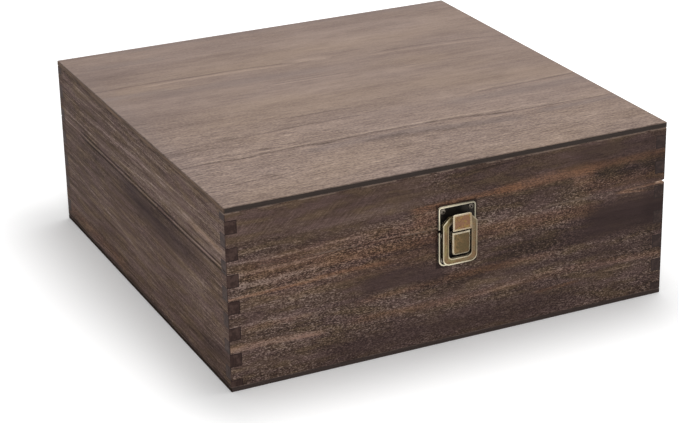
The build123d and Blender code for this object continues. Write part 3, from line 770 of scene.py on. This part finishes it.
# %% Side and back finishes
left_streaks = [
    streak("tone", 0.2, 0.9, [(8, 111.6), (40, 112.4)], 10.0),
    streak("tone", 0.14, 1.2, [(-60, 108.6), (-20, 107.8), (100, 110)], 30.0),
    streak("tone", 0.22, 1.0, [(-10, 103.6), (20, 104.4), (60, 104.8), (110, 103)], 24.0),
    streak("tone", 0.28, 1.1, [(-20, 97.4), (20, 97.0), (60, 95.6), (106, 94)], 12.0),
    streak("tone", 0.24, 1.0, [(-104, 100.4), (-44, 99.8)], 14.0),
    streak("tone", 0.22, 1.2, [(-90, 90.4), (-30, 89.4), (0, 86), (60, 84.6), (134, 85)], 16.0),
    streak("tone", 0.24, 3.4, [(-138, 88), (-90, 88.4)], 24.0),
    streak("warm", 0.2, 3.4, [(-138, 88), (-100, 88)], 20.0),
    streak("tone", -0.13, 1.6, [(-20, 106.6), (60, 107), (140, 106)], 20.0),
    streak("tone", -0.13, 1.2, [(20, 100), (70, 98.8), (130, 98)], 20.0),
    streak("tone", -0.13, 2.2, [(-110, 95), (0, 92.6), (60, 90)], 30.0),
    streak("tone", -0.2, 3.6, [(40, 114), (140, 115)], 30.0),
    streak("tone", 0.14, 1.2,
           [(-22, 43.6), (20, 48.6), (60, 51.2), (82, 52.8), (120, 56.2), (146, 58.4)], 10.0),
    streak("tone", 0.14, 1.2, [(-36, 26.4), (0, 30.4), (30, 35), (75, 39.2), (120, 43.6), (140, 45)], 10.0),
    streak("tone", 0.14, 1.2, [(88, 22.4), (122, 24.8)], 8.0),
    streak("tone", 0.12, 0.9, [(104, 15), (126, 15)], 6.0),
    streak("tone", 0.14, 0.9, [(-60, 24), (-49, 24.2)], 6.0),
    streak("tone", 0.1, 0.9, [(-142, 49.6), (-128, 50.2)], 6.0),
    streak("tone", 0.1, 1.2, [(-112, 38), (-94, 38)], 6.0),
    streak("tone", 0.12, 6.0, [(-112, 54), (-94, 55)], 8.0),
    streak("smoke", 0.6, 12.0, [(-80, 67), (-50, 66), (-10, 67), (4, 69)], 36.0),
    streak("tone", -0.1, 12.0, [(-92, 67), (10, 68)], 40.0),
    streak("warm", 0.06, 300.0, [(-150, 60), (150, 60)], 10.0),
    streak("tone", 0.05, 26.0, [(60, 46), (150, 46)], 30.0),
    streak("tone", 0.06, 20.0, [(-150, 96), (-90, 96)], 40.0),
    streak("smooth", 0.35, 40.0, [(-90, 38), (150, 38)], 40.0),
    streak("smoke", 0.4, 5.0, [(14, 73), (80, 73)], 30.0),
    streak("smoke", 0.4, 8.0, [(-150, 24), (-116, 20)], 12.0),
    streak("warm", 0.3, 6.0, [(40, 10), (140, 10)], 20.0),
    streak("tone", -0.25, 1.6, [(-150, 3.4), (150, 3.4)], 5.0),
    streak("tone", -0.16, 60.0, [(144, 60), (150, 60)], 6.0),
    streak("tone", 0.07, 44.0, [(-140, 50), (-80, 50)], 30.0),
    streak("tone", -0.11, 22.0, [(80, 98), (150, 98)], 50.0),
]
left_wood = make_board("left wall wood", 1, left_streaks, wander=2.0, base=0.49, lid_tone=0.11, fibre=1.25,
                       grit=0.75, fibre_length=22.0, grit_size=0.9, seam_shade=0.42, gloss=0.06)
plain_streaks = [
    streak("tone", 0.2, 2.0, [(-150, 88), (0, 90), (150, 87)], 30.0),
    streak("warm", 0.45, 5.0, [(-90, 56), (0, 58), (70, 60)], 30.0),
    streak("tone", 0.22, 1.6, [(-150, 32), (-60, 31), (20, 28)], 30.0),
    streak("smoke", 0.6, 11.0, [(-40, 14), (120, 16)], 40.0),
    streak("tone", 0.2, 1.2, [(10, 70), (80, 72), (150, 71)], 20.0),
    streak("tone", -0.2, 1.0, [(-120, 98), (-20, 101), (60, 100)], 20.0),
    streak("smoke", 0.5, 7.0, [(-150, 104), (-60, 106)], 30.0),
    streak("warm", 0.4, 3.0, [(30, 104), (120, 102)], 20.0),
]
back_wood = make_board("back wall wood", 0, plain_streaks, wander=5.0)
right_wood = make_board("right wall wood", 1, plain_streaks, wander=5.0)

# %% [markdown]
# ## The panels
# The top is one wide sheet with a soft, even figure: a little yellow where the veneer is thin, a little
# lilac where the stain went in, and a few fine dark lines that wander along it. The grit shows more towards
# the front, where the light grazes it.

# %% The face of a panel
# These are lighter than the walls' stain: partly a lighter veneer, partly painted light on a top lit from
# above.
PANEL_WOOD = [(0.0, stain(88, 71, 63)), (0.3, stain(122, 102, 92)), (0.5, stain(143, 122, 110)),
              (0.75, stain(165, 142, 127)), (1.0, stain(191, 166, 148))]


def panel_tone(bench, place, x, y, grain, marks, base):
    """Adds up all that makes a spot of the face lighter or darker."""
    mottle = bench.noise(place, (38.0, 16.0, 16.0), detail=3.0, rough=0.6, shift=(6.0, 2.0, 0.0))
    front_grit = bench.spread(y + x * 0.3, -130.0, 20.0, 1.3, 0.36)
    tone = (grain["Clouds"] - 0.5) * 0.3 + (mottle - 0.5) * 0.32 + (grain["Streaks"] - 0.5) * 0.3
    tone = tone + (grain["Fibres"] * 1.2 + grain["Grit"] * 0.9 - 1.05) * front_grit + base
    if "tone" in marks:
        tone = tone + marks["tone"] * (grain["Fibres"] * 0.8 + 0.6)
    return tone


def panel_colour(bench, place, grain, marks, tone):
    """The colour of the face at each tone, leaning to yellow and to lilac in wide patches."""
    colour = bench.ramp(tone - grain["Pores"] * 0.05, PANEL_WOOD)
    hue = bench.noise(place, (110.0, 45.0, 45.0), detail=2.0, shift=(1.5, 0.4, 0.0))
    yellow = bench.tint(tone, stain(114, 93, 76), stain(187, 160, 133))
    lilac = bench.tint(tone, stain(109, 93, 90), stain(177, 156, 150))
    colour = bench.tint(bench.spread(hue, 0.5, 0.66, 0.0, 0.22), colour, yellow)
    colour = bench.tint(bench.spread(hue, 0.5, 0.36, 0.0, 0.18), colour, lilac)
    if "smoke" in marks:
        smoky = bench.tint(tone, stain(100, 85, 81), stain(158, 139, 130))
        colour = bench.tint(marks["smoke"], colour, smoky)
    return colour


print("a panel's face runs through", len(PANEL_WOOD), "colours")

# %% [markdown]
# The edge of a panel shows its layers. They are bands across its thickness, stained nearly black in front,
# and browner on the sides, where cloudy noise breaks them up.

# %% The edge of a panel
LAYERS = 3


def panel_edge(bench, place, z, grain, low, high, edge_tones, side_tones):
    """The colours of the front edge and of the side edges. low and high are the panel's two heights."""
    layers = bench.math("SINE", (z - low) * (2 * math.pi * LAYERS / (high - low))) * 0.5 + 0.5
    colour = bench.tint(layers * 0.6, edge_tones[0], edge_tones[1])
    colour = bench.tint((grain["Fibres"] - 0.3) * 0.5, colour, edge_tones[2])
    plies = bench.noise(place, (9.0, 26.0, 0.9), detail=3.0, rough=0.6)
    return colour, bench.tint(bench.spread(plies, 0.3, 0.7), *side_tones)


print("layers in a panel:", LAYERS)

# %% [markdown]
# The finish joins the face and the edge, and a dark rim where they meet. The side edges also shine less
# than the rest. The shader's own socket keeps the plain value of the gloss, which counts wherever the link
# can't be read.

# %% The panel finish
EDGE_TONES = (stain(46, 36, 31), stain(32, 25, 22), stain(66, 53, 46))
SIDE_TONES = (stain(70, 55, 46), stain(122, 98, 81))
RIM_TONE = stain(58, 48, 45)


def make_panel(name, streaks, low, high, base=0.5, gloss=0.2, edge_tones=EDGE_TONES, side_tones=SIDE_TONES,
               rim_tone=RIM_TONE):
    """A thin sheet of stained wood between two heights.

    base is the middle tone. edge_tones are the front edge's two layers and its fibres, side_tones are the
    dark and the light colour of the side edges, and rim_tone is the colour along the edges of the face.
    """
    material, bench, shader, place, facing = start_finish(name, Specular_IOR_Level=gloss)
    x, y, z = bench.split(place)
    grain = bench.use(long_grain, Place=bench.join(x, y, z), Wander=6.0, Streak_length=90.0,
                      Streak_height=4.5, Fibre_length=13.0, Fibre_height=0.8, Grit_size=0.85)
    marks = lay_streaks(bench, x, grain["Bent across"], grain, streaks, -half_width, half_width,
                        roughness=0.9)
    tone = panel_tone(bench, place, x, y, grain, marks, base)
    colour = panel_colour(bench, place, grain, marks, tone)
    front_edge, side_edge = panel_edge(bench, place, z, grain, low, high, edge_tones, side_tones)
    on_side = bench.math("GREATER_THAN", facing[0], 0.5)
    edge_colour = bench.tint(on_side, front_edge, side_edge)
    on_edge = bench.math("LESS_THAN", facing[2], 0.5)
    colour = bench.tint(on_edge, colour, edge_colour)
    half_size = (half_width, half_width, (high - low) / 2)
    rim = bench.use(board_edge, Place=place, Centre=(0.0, 0.0, (low + high) / 2), Half_size=half_size,
                    Reach=0.9)["Edge"]
    colour = bench.tint(rim * bench.spread(grain["Streaks"], 0.35, 0.6, 0.35, 0.8), colour, rim_tone)
    bench.feed(shader["Base Color"], colour)
    bench.feed(shader["Specular IOR Level"], gloss - on_side * (gloss * 0.8))
    bench.feed(shader["Roughness"], 0.55 + (0.5 - tone) * 0.2 + grain["Pores"] * 0.15)
    height = grain["Streaks"] + grain["Fibres"] * 0.6 + grain["Grit"] * 0.3
    bench.feed(shader["Normal"], relief(bench, height, 0.07))
    print("finish", name, "has", len(streaks), "placed streaks")
    return material


# %% [markdown]
# The top's lines run from side to side and are thin, dark and a little wavy, each with a paler one beside
# it. The bottom isn't in the photograph, so it gets the same recipe, only darker and duller.

# %% The streaks of the top, and both panels
top_streaks = [
    streak("tone", -0.2, 1.5, [(-150, 72.8), (-104, 73.6), (-76, 72.4), (-50, 72.8), (-20, 70.4)], 8.0),
    streak("tone", 0.2, 2.0, [(-110, 68.6), (-60, 69), (-16, 66.6)], 10.0),
    streak("smoke", 0.5, 8.0, [(-106, 48), (-60, 49), (-6, 46)], 26.0),
    streak("tone", -0.13, 1.5, [(52, 61.4), (96, 61), (116, 58.4), (146, 53)], 12.0),
    streak("tone", 0.13, 1.8, [(48, 57.6), (96, 56), (130, 51)], 12.0),
    streak("tone", 0.16, 5.0, [(-2, 70), (12, 69)], 10.0),
    streak("tone", -0.24, 0.7, [(-34, 34.2), (-20, 33.6), (12, 32.4)], 8.0),
    streak("tone", 0.18, 1.4, [(-34, 31.4), (4, 29.6)], 10.0),
    streak("tone", -0.14, 0.8, [(50, 25.4), (84, 26), (110, 22)], 12.0),
    streak("tone", -0.2, 1.8, [(-150, -54.6), (-120, -51.2), (-80, -50), (-58, -48), (-20, -47)], 10.0),
    streak("tone", -0.1, 6.0, [(-150, -60), (-100, -57)], 20.0),
    streak("tone", -0.2, 1.0, [(-52, -31.6), (-20, -31.4)], 8.0),
    streak("tone", -0.2, 1.4, [(76, -42.6), (104, -42), (150, -40.4)], 10.0),
    streak("tone", 0.14, 1.6, [(78, -39.4), (150, -37.6)], 10.0),
    streak("smoke", 0.5, 9.0, [(56, -54), (100, -54), (150, -52)], 24.0),
    streak("tone", 0.16, 1.2, [(-140, -71.6), (-116, -71.2), (-78, -71)], 10.0),
    streak("tone", -0.26, 2.0,
           [(-150, -82.4), (-126, -82.4), (-110, -84.2), (-90, -82), (-66, -81), (-54, -83), (-44, -81.6),
            (-28, -80), (0, -80.2), (36, -81), (52, -83.4), (70, -86)], 10.0),
    streak("tone", -0.2, 1.4, [(66, -85.4), (100, -88), (150, -89.2)], 10.0),
    streak("tone", 0.14, 1.6, [(-128, -79), (-60, -78), (-20, -77), (50, -78.6), (100, -84)], 10.0),
    streak("smoke", 0.55, 7.0, [(-60, -90), (-10, -88), (40, -94), (66, -98)], 20.0),
    streak("smoke", 0.6, 5.0, [(98, -95), (150, -94)], 14.0),
    streak("tone", -0.24, 4.0, [(-18, -89), (-8, -89)], 8.0),
    streak("tone", -0.2, 3.0, [(-16, -110), (-10, -110)], 8.0),
    streak("smoke", 0.5, 7.0, [(-130, 120), (-92, 121)], 16.0),
    streak("smoke", 0.5, 6.0, [(-146, 56), (-108, 56)], 10.0),
    streak("smoke", 0.6, 5.0, [(-100, 146), (150, 146)], 30.0),
    streak("tone", 0.08, 26.0, [(20, 96), (120, 98)], 50.0),
    streak("tone", -0.14, 40.0, [(-150, 110), (-130, 110)], 40.0),
    streak("tone", -0.08, 40.0, [(-150, 10), (-130, 10)], 40.0),
    streak("tone", -0.16, 6.0, [(-20, -92), (60, -96)], 20.0),
    streak("smoke", 0.35, 200.0, [(-150, 0), (-146, 0)], 14.0),
    streak("tone", 0.06, 30.0, [(-40, 20), (40, 20)], 50.0),
]
top_wood = make_panel("top panel wood", top_streaks, rail_top, box_height)
all_smoky = [streak("smoke", 0.8, 500.0, [(-150, 0), (150, 0)])]
bottom_wood = make_panel("bottom panel wood", all_smoky, 0.0, wall_foot, base=0.2, gloss=0.05,
                         edge_tones=(stain(66, 56, 53), stain(50, 43, 41), stain(88, 75, 71)),
                         side_tones=(stain(34, 27, 23), stain(54, 43, 37)), rim_tone=stain(34, 29, 27))

# %% [markdown]
# ## The latch and hinges
# The stamped plates are black in their recess and bright along the raised rim. The loop, hook and lever are
# olive brass with copper blotches, rubbed bright on their edges, partly as wear and partly as painted
# highlight, and brighter on the left side as painted highlight from the light on the left. The flats come
# first: two colours in blotches, a lean from left to right that is partly painted shade on the right, and
# specks of the black patina.

# %% The flats of the brass
PATINA = stain(22, 19, 17)
COPPER_BRASS = stain(130, 95, 71)
GOLDEN_BRASS = stain(146, 118, 66)
# The pale colour of worn brass, which on edges and rims also serves as a painted highlight.
WORN_AND_LIT_BRASS = stain(250, 238, 208)
SLOT_BLACK = stain(10, 9, 8)
HOOK_OUT = 3.0


def brass_flats(bench, x, out, wear, flat, blotch, right_flat_shaded, hook):
    """The colour of the flats. With hook, what stands farther out than the plate is copper coloured."""
    # Towards the right the flats lean to a darker colour, partly their own and partly painted shade away from
    # the light on the left.
    if right_flat_shaded is not None:
        flat = bench.tint(bench.spread(x, -10.0, 10.0), flat, right_flat_shaded)
    if hook:
        on_hook = bench.math("GREATER_THAN", out, HOOK_OUT)
        flat = bench.tint(on_hook, flat, COPPER_BRASS)
        blotch = bench.tint(on_hook, blotch, GOLDEN_BRASS)
    colour = bench.tint(bench.spread(wear["Blotches"], 0.44, 0.57, 0.0, 0.9), flat, blotch)
    return bench.tint(bench.spread(wear["Specks"], 0.5, 0.7, 0.0, 0.5), colour, PATINA)


print("bright brass in linear values:", [round(v, 2) for v in WORN_AND_LIT_BRASS])

# %% [markdown]
# Four things are made bright: the edges and the faces of the raised rims, which are partly worn and partly
# a painted highlight, and the narrow faces that look up and the slanting faces of a bevel, which are painted
# highlight. A raised rim is found by its distance in front of the box. The strongest of the four counts, and
# the blotches and the side then weaken it, so that no rim is even; the right side loses some as painted
# shade, away from the light on the left.

# %% Where the brass is rubbed, and where highlight is painted on it
def brass_wear_and_highlight(bench, x, z, out, facing, wear, raised, highlight_upward, bevel_highlight, blotched_rub, rub, right_shade):
    """How bright each spot is made, from 0 to 1, by wear and painted highlight together."""
    # This mask holds worn brass and painted highlight together.
    rubbed = wear["Rubbed"]
    for low, high, share in raised:
        on_rim = bench.spread(out, low - 0.05, low + 0.05) * bench.spread(out, high, high + 0.1, share, 0.0)
        rubbed = bench.math("MAXIMUM", rubbed, on_rim)
    # Faces that look up get a painted highlight, as if lit from above.
    if highlight_upward is not None:
        lit_from_above = bench.math("GREATER_THAN", facing[2], 0.6) * bench.math("GREATER_THAN", z, highlight_upward[0])
        rubbed = bench.math("MAXIMUM", rubbed, lit_from_above * bench.math("LESS_THAN", z, highlight_upward[1]))
    # The slanting faces of a bevel get a painted highlight.
    slanted = bench.math("MAXIMUM", bench.math("MAXIMUM", facing[0], facing[1]), facing[2])
    rubbed = bench.math("MAXIMUM", rubbed, bench.spread(slanted, 0.8, 0.93, bevel_highlight, 0.0))
    rubbed = rubbed * bench.spread(wear["Blotches"], 0.3, 0.55, blotched_rub, 1.0) * rub
    # Less of the brightness towards the right: painted shade away from the light on the left.
    return rubbed * bench.spread(x, -8.0, 12.0, 1.0, 1.0 - right_shade)


print("distances in front of the box are counted from y =", round(-half_width, 1), "mm")

# %% [markdown]
# The loop is worn and lit in its own way. It is brightest at its foot and high on its left limb, which is
# painted highlight, its side faces keep the dark patina, and the inner rims of its window are dimmer than
# the outer ones.

# %% The wear and painted highlight of the loop
INNER_RIM, OUTER_RIM = 8.2, 9.2
WINDOW_FOOT = 59.0


def loop_wear_and_highlight(bench, x, z, facing, colour, rubbed, highlight_spots):
    """Colour, wear and painted highlight of the loop. highlight_spots are the heights where its painted
    highlight at the foot ends and the one high on the left begins.
    """
    # Painted highlight at the foot and high on the left limb.
    low_part = bench.spread(z, highlight_spots[0] - 3.0, highlight_spots[0], 1.0, 0.0)
    high_part = bench.spread(z, highlight_spots[1], highlight_spots[1] + 2.0) * bench.math("LESS_THAN", x, 0.0)
    rubbed = rubbed * (bench.math("MAXIMUM", low_part, high_part) * 0.5 + 0.5)
    colour = bench.tint(bench.spread(facing[0], 0.5, 0.8, 0.0, 0.75), colour, PATINA)
    rubbed = rubbed * bench.spread(facing[0], 0.8, 0.95, 1.0, 0.3)
    limbs = bench.spread(bench.math("ABSOLUTE", x), INNER_RIM, OUTER_RIM, 0.3, 1.0)
    foot = bench.spread(z, WINDOW_FOOT, WINDOW_FOOT + 2.0, 1.0, 0.0)
    return colour, rubbed * bench.math("MAXIMUM", limbs, foot)


print("the loop's inner rims are", 2 * INNER_RIM, "mm apart")

# %% [markdown]
# One recipe makes all the metal, so that it looks like one set. Rubbed brass, which is partly wear and partly
# painted highlight, is painted as a pale colour that is hardly metallic: in a white room, a true mirror as
# narrow as a rim turns black or white with each change of view, while worn brass looks pale from most sides.
# A screw's head is domed, so the floors of its slots are the only faces that look straight out, and the
# slots' walls the only ones that look sideways.

# %% The antique brass finish
METALNESS = 0.8


def make_brass(name, flat, blotch, right_flat_shaded=None, raised=(), hook=False, rub=0.9, edge=0.3, bevel_highlight=0.0,
               right_shade=0.0, highlight_spots=None, slots=False, blotched_rub=0.6, highlight_upward=None, shaded_gap_height=None):
    """Antiqued brass with rubbed edges and painted highlights.

    flat, blotch and right_flat_shaded are the colours of the flats; right_flat_shaded is partly painted shade
    on the right.
    raised lists the faces in front of the box that are worn bright and painted with highlight, as (from, to,
    share), and upward gives the two heights between which faces that look up get a painted highlight. edge is
    the width of a rubbed edge, rub is how bright edges get, bevels is the strength of the painted highlight
    on slanting faces, blotched_rub is what is left of that in the blotches, and right_shade is how much of it
    is lost on the right as painted shade. highlight_spots is for the loop alone and places its painted
    highlight, slots makes a screw's slots black, and nick is the height of the gap between two plates,
    painted dark as shade.
    """
    material, bench, shader, place, facing = start_finish(name, Metallic=METALNESS)
    x, y, z = bench.split(place)
    wear = bench.use(rubbed_brass, Place=place, Edge_width=edge)
    out = 0.0 - y - half_width
    colour = brass_flats(bench, x, out, wear, flat, blotch, right_flat_shaded, hook)
    rubbed = brass_wear_and_highlight(bench, x, z, out, facing, wear, raised, highlight_upward, bevel_highlight, blotched_rub, rub,
                          right_shade)
    if highlight_spots is not None:
        colour, rubbed = loop_wear_and_highlight(bench, x, z, facing, colour, rubbed, highlight_spots)
    # No bright rim at the gap between the two plates: painted shade in the gap.
    if shaded_gap_height is not None:
        rubbed = rubbed * bench.spread(bench.math("ABSOLUTE", z - shaded_gap_height), 0.7, 1.0)
    if slots:
        dark = bench.math("MAXIMUM", bench.math("GREATER_THAN", facing[1], 0.998),
                          bench.math("LESS_THAN", facing[1], 0.3))
        colour = bench.tint(dark, colour, SLOT_BLACK)
        rubbed = rubbed * (1.0 - dark)
    bench.feed(shader["Metallic"], METALNESS - rubbed * 0.75)
    # Worn brass and painted highlight are laid on together.
    bench.feed(shader["Base Color"], bench.tint(rubbed, colour, WORN_AND_LIT_BRASS))
    bench.feed(shader["Roughness"], 0.4 - rubbed * 0.12 + wear["Specks"] * 0.14)
    bench.feed(shader["Normal"], relief(bench, wear["Specks"] + wear["Blotches"], 0.04))
    print("finish", name, "has", len(material.node_tree.nodes), "nodes")
    return material


# %% [markdown]
# Each piece of metal gets its own colours and its own share of wear and painted highlight. The plates' raised
# rim stands 1.3 mm in front of the box, the hook's 8 mm and the loop's 5.1 mm, and that is how the finish
# tells rim from recess. The dark nick is painted shade in the gap between the two plates, at the seam.

# %% The metal finishes
plate_gap = (span_mm("latch_base_plate", 2)[1] + span_mm("latch_hook_plate", 2)[0]) / 2
PLATE_RIM, HOOK_RIM, LOOP_RIM = (1.2, 1.4, 1.0), (7.92, 8.1, 0.35), (5.05, 5.2, 1.0)

plate_brass = make_brass("blackened plate", PATINA, stain(40, 35, 30), hook=True, bevel_highlight=0.7, right_shade=0.65,
                         raised=[PLATE_RIM, HOOK_RIM], blotched_rub=0.85, rub=1.0, highlight_upward=(86.5, 92.0),
                         shaded_gap_height=plate_gap)
loop_brass = make_brass("olive brass loop", stain(136, 120, 82), stain(124, 98, 70),
                        right_flat_shaded=stain(120, 104, 80), raised=[LOOP_RIM], right_shade=0.6,
                        highlight_spots=(58.5, 80.0), rub=1.0, highlight_upward=(56.0, 60.0))
lever_brass = make_brass("olive brass lever", stain(130, 105, 70), stain(90, 76, 50),
                         right_flat_shaded=stain(78, 62, 41), edge=0.5, right_shade=0.25, bevel_highlight=0.6, rub=0.85,
                         highlight_upward=(74.0, 76.0))
hinge_brass = make_brass("hinge brass", stain(104, 88, 58), stain(72, 58, 42), rub=0.7)
pin_brass = make_brass("pin brass", stain(120, 104, 72), stain(80, 66, 46), rub=0.6)
screw_steel = make_brass("darkened screw", stain(140, 130, 118), stain(92, 84, 76),
                         right_flat_shaded=stain(84, 76, 70), rub=0.5, edge=0.25, slots=True)

# %% [markdown]
# ## Handing out the finishes
# Each piece of the model has one material slot from the CAD; the finish goes in its place. The walls of the
# base share a finish with the rails above them, so that the grain runs on across the seam. The hinges and
# the screws aren't in the list: they are told apart by their names. No mesh is changed, and the worn edges
# of the metal, with their painted highlight, come from the rubbed brass group.

# %% Put each finish on its pieces
finishes = {
    "base_front_wall": front_wood, "lid_front_rail": front_wood,
    "base_back_wall": back_wood, "lid_back_rail": back_wood,
    "base_left_wall": left_wood, "lid_left_rail": left_wood,
    "base_right_wall": right_wood, "lid_right_rail": right_wood,
    "lid_top_panel": top_wood, "base_bottom_panel": bottom_wood,
    "latch_hook_plate": plate_brass, "latch_base_plate": plate_brass,
    "latch_loop": loop_brass, "latch_lever": lever_brass,
    "latch_lever_pin": pin_brass, "latch_loop_pin": pin_brass,
}
for name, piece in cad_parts.items():
    finish = finishes.get(name)
    if finish is None:
        finish = screw_steel if "screws" in name else hinge_brass
    for slot in piece.material_slots:
        slot.material = finish
print("finished pieces:", len(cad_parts))

# %% [markdown]
# ## Floor and backdrop
# The photograph has a pure white ground with a soft shadow. The floor is a plain pale sheet that takes the
# shadow, and a glow that only the camera and reflections see lifts it to white. The glow grows with the
# distance from the box, because the real shadow fades out sooner than one on plain paper, and it is a
# little stronger on the right and at the front left, where the ground in the photograph is lightest.

# %% The floor
WHITE = (1.0, 1.0, 1.0, 1.0)
PALE_FLOOR = (0.92, 0.92, 0.92, 1.0)
FLOOR_REACH, FLOOR_DROP = 6.0, 0.0001
GLOW_NEAR, GLOW_FAR, GLOW_WIDTH = 0.13, 0.44, 84.0


def floor_glow(bench):
    """How strongly the floor glows. The distance from the box is in millimetres, x and y are in metres."""
    x, y, _ = bench.split(bench.node("ShaderNodeNewGeometry", output="Position"))
    beside, before = [bench.math("MAXIMUM", bench.math("ABSOLUTE", part) * (1 / MM) - half_width, 0.0)
                      for part in (x, y)]
    distance = bench.math("SQRT", beside * beside + before * before)
    glow = bench.spread(distance, 0.0, GLOW_WIDTH, GLOW_NEAR, GLOW_FAR)
    glow = glow + bench.spread(x, 0.12, 0.17, 0.0, 0.12)
    return glow + bench.spread(x, -0.152, -0.19) * bench.spread(y, 0.04, -0.14, 0.0, 0.1)


def make_floor():
    """Lays the floor out as part of the stage, a hair below the box."""
    mesh = bpy.data.meshes.new("floor")
    signs = ((-1, -1), (1, -1), (1, 1), (-1, 1))
    corners = [(right * FLOOR_REACH, back * FLOOR_REACH, -FLOOR_DROP) for right, back in signs]
    mesh.from_pydata(corners, [], [(0, 1, 2, 3)])
    floor = bpy.data.objects.new("floor", mesh)
    bpy.context.scene.collection.objects.link(floor)
    material = bpy.data.materials.new("pale floor")
    material.use_nodes = True
    bench = Bench(material.node_tree)
    shader = material.node_tree.nodes["Principled BSDF"].inputs
    shader["Base Color"].default_value = PALE_FLOOR
    shader["Roughness"].default_value = 1.0
    shader["Specular IOR Level"].default_value = 0.0
    shader["Emission Color"].default_value = WHITE
    seen = bench.node("ShaderNodeLightPath", output="Is Camera Ray")
    mirrored = bench.node("ShaderNodeLightPath", output="Is Glossy Ray")
    glow = floor_glow(bench)
    bench.feed(shader["Emission Strength"], bench.math("MAXIMUM", seen, mirrored) * glow)
    mesh.materials.append(material)
    print("floor of", 2 * FLOOR_REACH, "metres")


make_floor()

# %% [markdown]
# The world is white too, for the camera and for what is mirrored. As a source of light it is only half as
# bright, so that the lamps decide the shading.

# %% The world
def make_world(light_level):
    """A white background that lights the object at the given level."""
    world = bpy.data.worlds.new("white room")
    bpy.context.scene.world = world
    world.use_nodes = True
    bench = Bench(world.node_tree)
    paths = world.node_tree.nodes.new("ShaderNodeLightPath")
    seen = [Wire(bench, paths.outputs[n]) for n in ("Is Camera Ray", "Is Glossy Ray", "Is Transmission Ray")]
    white = bench.math("MAXIMUM", bench.math("MAXIMUM", seen[0], seen[1]), seen[2])
    background = world.node_tree.nodes["Background"].inputs
    background["Color"].default_value = WHITE
    bench.feed(background["Strength"], white * (1.0 - light_level) + light_level)
    print("world lights the box at a level of", light_level)


make_world(light_level=0.5)

# %% [markdown]
# ## Lamps
# One broad lamp hangs high above the box, a little behind it and to its right, so that the top is the
# brightest face and the shadow falls softly towards the viewer's left. A second one, nearly as strong,
# stands to the front left: it keeps the front readable and lights the left rims of the latch. Both are
# large, because the shadow in the photograph has no hard edge.

# %% Lamps
def make_lamp(name, place, size, power):
    """A round lamp of the given size in metres and power in watts that looks at the box."""
    light = bpy.data.lights.new(name, "AREA")
    light.shape, light.size, light.energy = "DISK", size, power
    lamp = bpy.data.objects.new(name, light)
    lamp.location = place
    lamp.rotation_mode = "QUATERNION"
    lamp.rotation_quaternion = (-Vector(place)).to_track_quat("-Z", "Y")
    bpy.context.scene.collection.objects.link(lamp)
    print(name, "of", power, "watts")


make_lamp("high lamp", place=(0.34, 0.2, 1.7), size=1.1, power=9.5)
make_lamp("front lamp", place=(-0.55, -1.72, 1.0), size=1.2, power=9.2)

# %% [markdown]
# ## Camera
# The photograph was taken with a long lens from a little above, turned 26 degrees round the box to its
# left. The numbers below come from fitting the seven visible corners of the box, and they put every corner
# within a tenth of a pixel. The lens is shifted slightly because the picture is a crop.

# %% Camera
AZIMUTH, ELEVATION, ROLL = math.radians(-26.062), math.radians(22.564), math.radians(-0.751)
EYE = Vector((-539.85, -1141.82, 558.53)) * MM
FOCAL_PIXELS, PICTURE_WIDTH, SENSOR_WIDTH = 2031.2, 679, 36.0
LENS_SHIFT = (-0.0517, -0.0066)
NEAREST, FARTHEST = 0.01, 50.0


def make_camera():
    """Puts the camera where the photograph was taken from."""
    back = Vector((math.sin(AZIMUTH) * math.cos(ELEVATION), -math.cos(AZIMUTH) * math.cos(ELEVATION),
                   math.sin(ELEVATION)))
    right = Vector((math.cos(AZIMUTH), math.sin(AZIMUTH), 0.0))
    up = back.cross(right)
    rolled_right = right * math.cos(ROLL) + up * math.sin(ROLL)
    rolled_up = up * math.cos(ROLL) - right * math.sin(ROLL)
    lens = bpy.data.cameras.new("camera")
    lens.sensor_width = SENSOR_WIDTH
    lens.lens = FOCAL_PIXELS / PICTURE_WIDTH * SENSOR_WIDTH
    lens.shift_x, lens.shift_y = LENS_SHIFT
    lens.clip_start, lens.clip_end = NEAREST, FARTHEST
    camera = bpy.data.objects.new("camera", lens)
    turn = Matrix((rolled_right, rolled_up, back)).transposed().to_4x4()
    camera.matrix_world = Matrix.Translation(EYE) @ turn
    bpy.context.scene.collection.objects.link(camera)
    bpy.context.scene.camera = camera
    print("lens", round(lens.lens, 1), "mm")


make_camera()
bpy.context.scene.view_settings.view_transform = "Standard"

# %% [markdown]
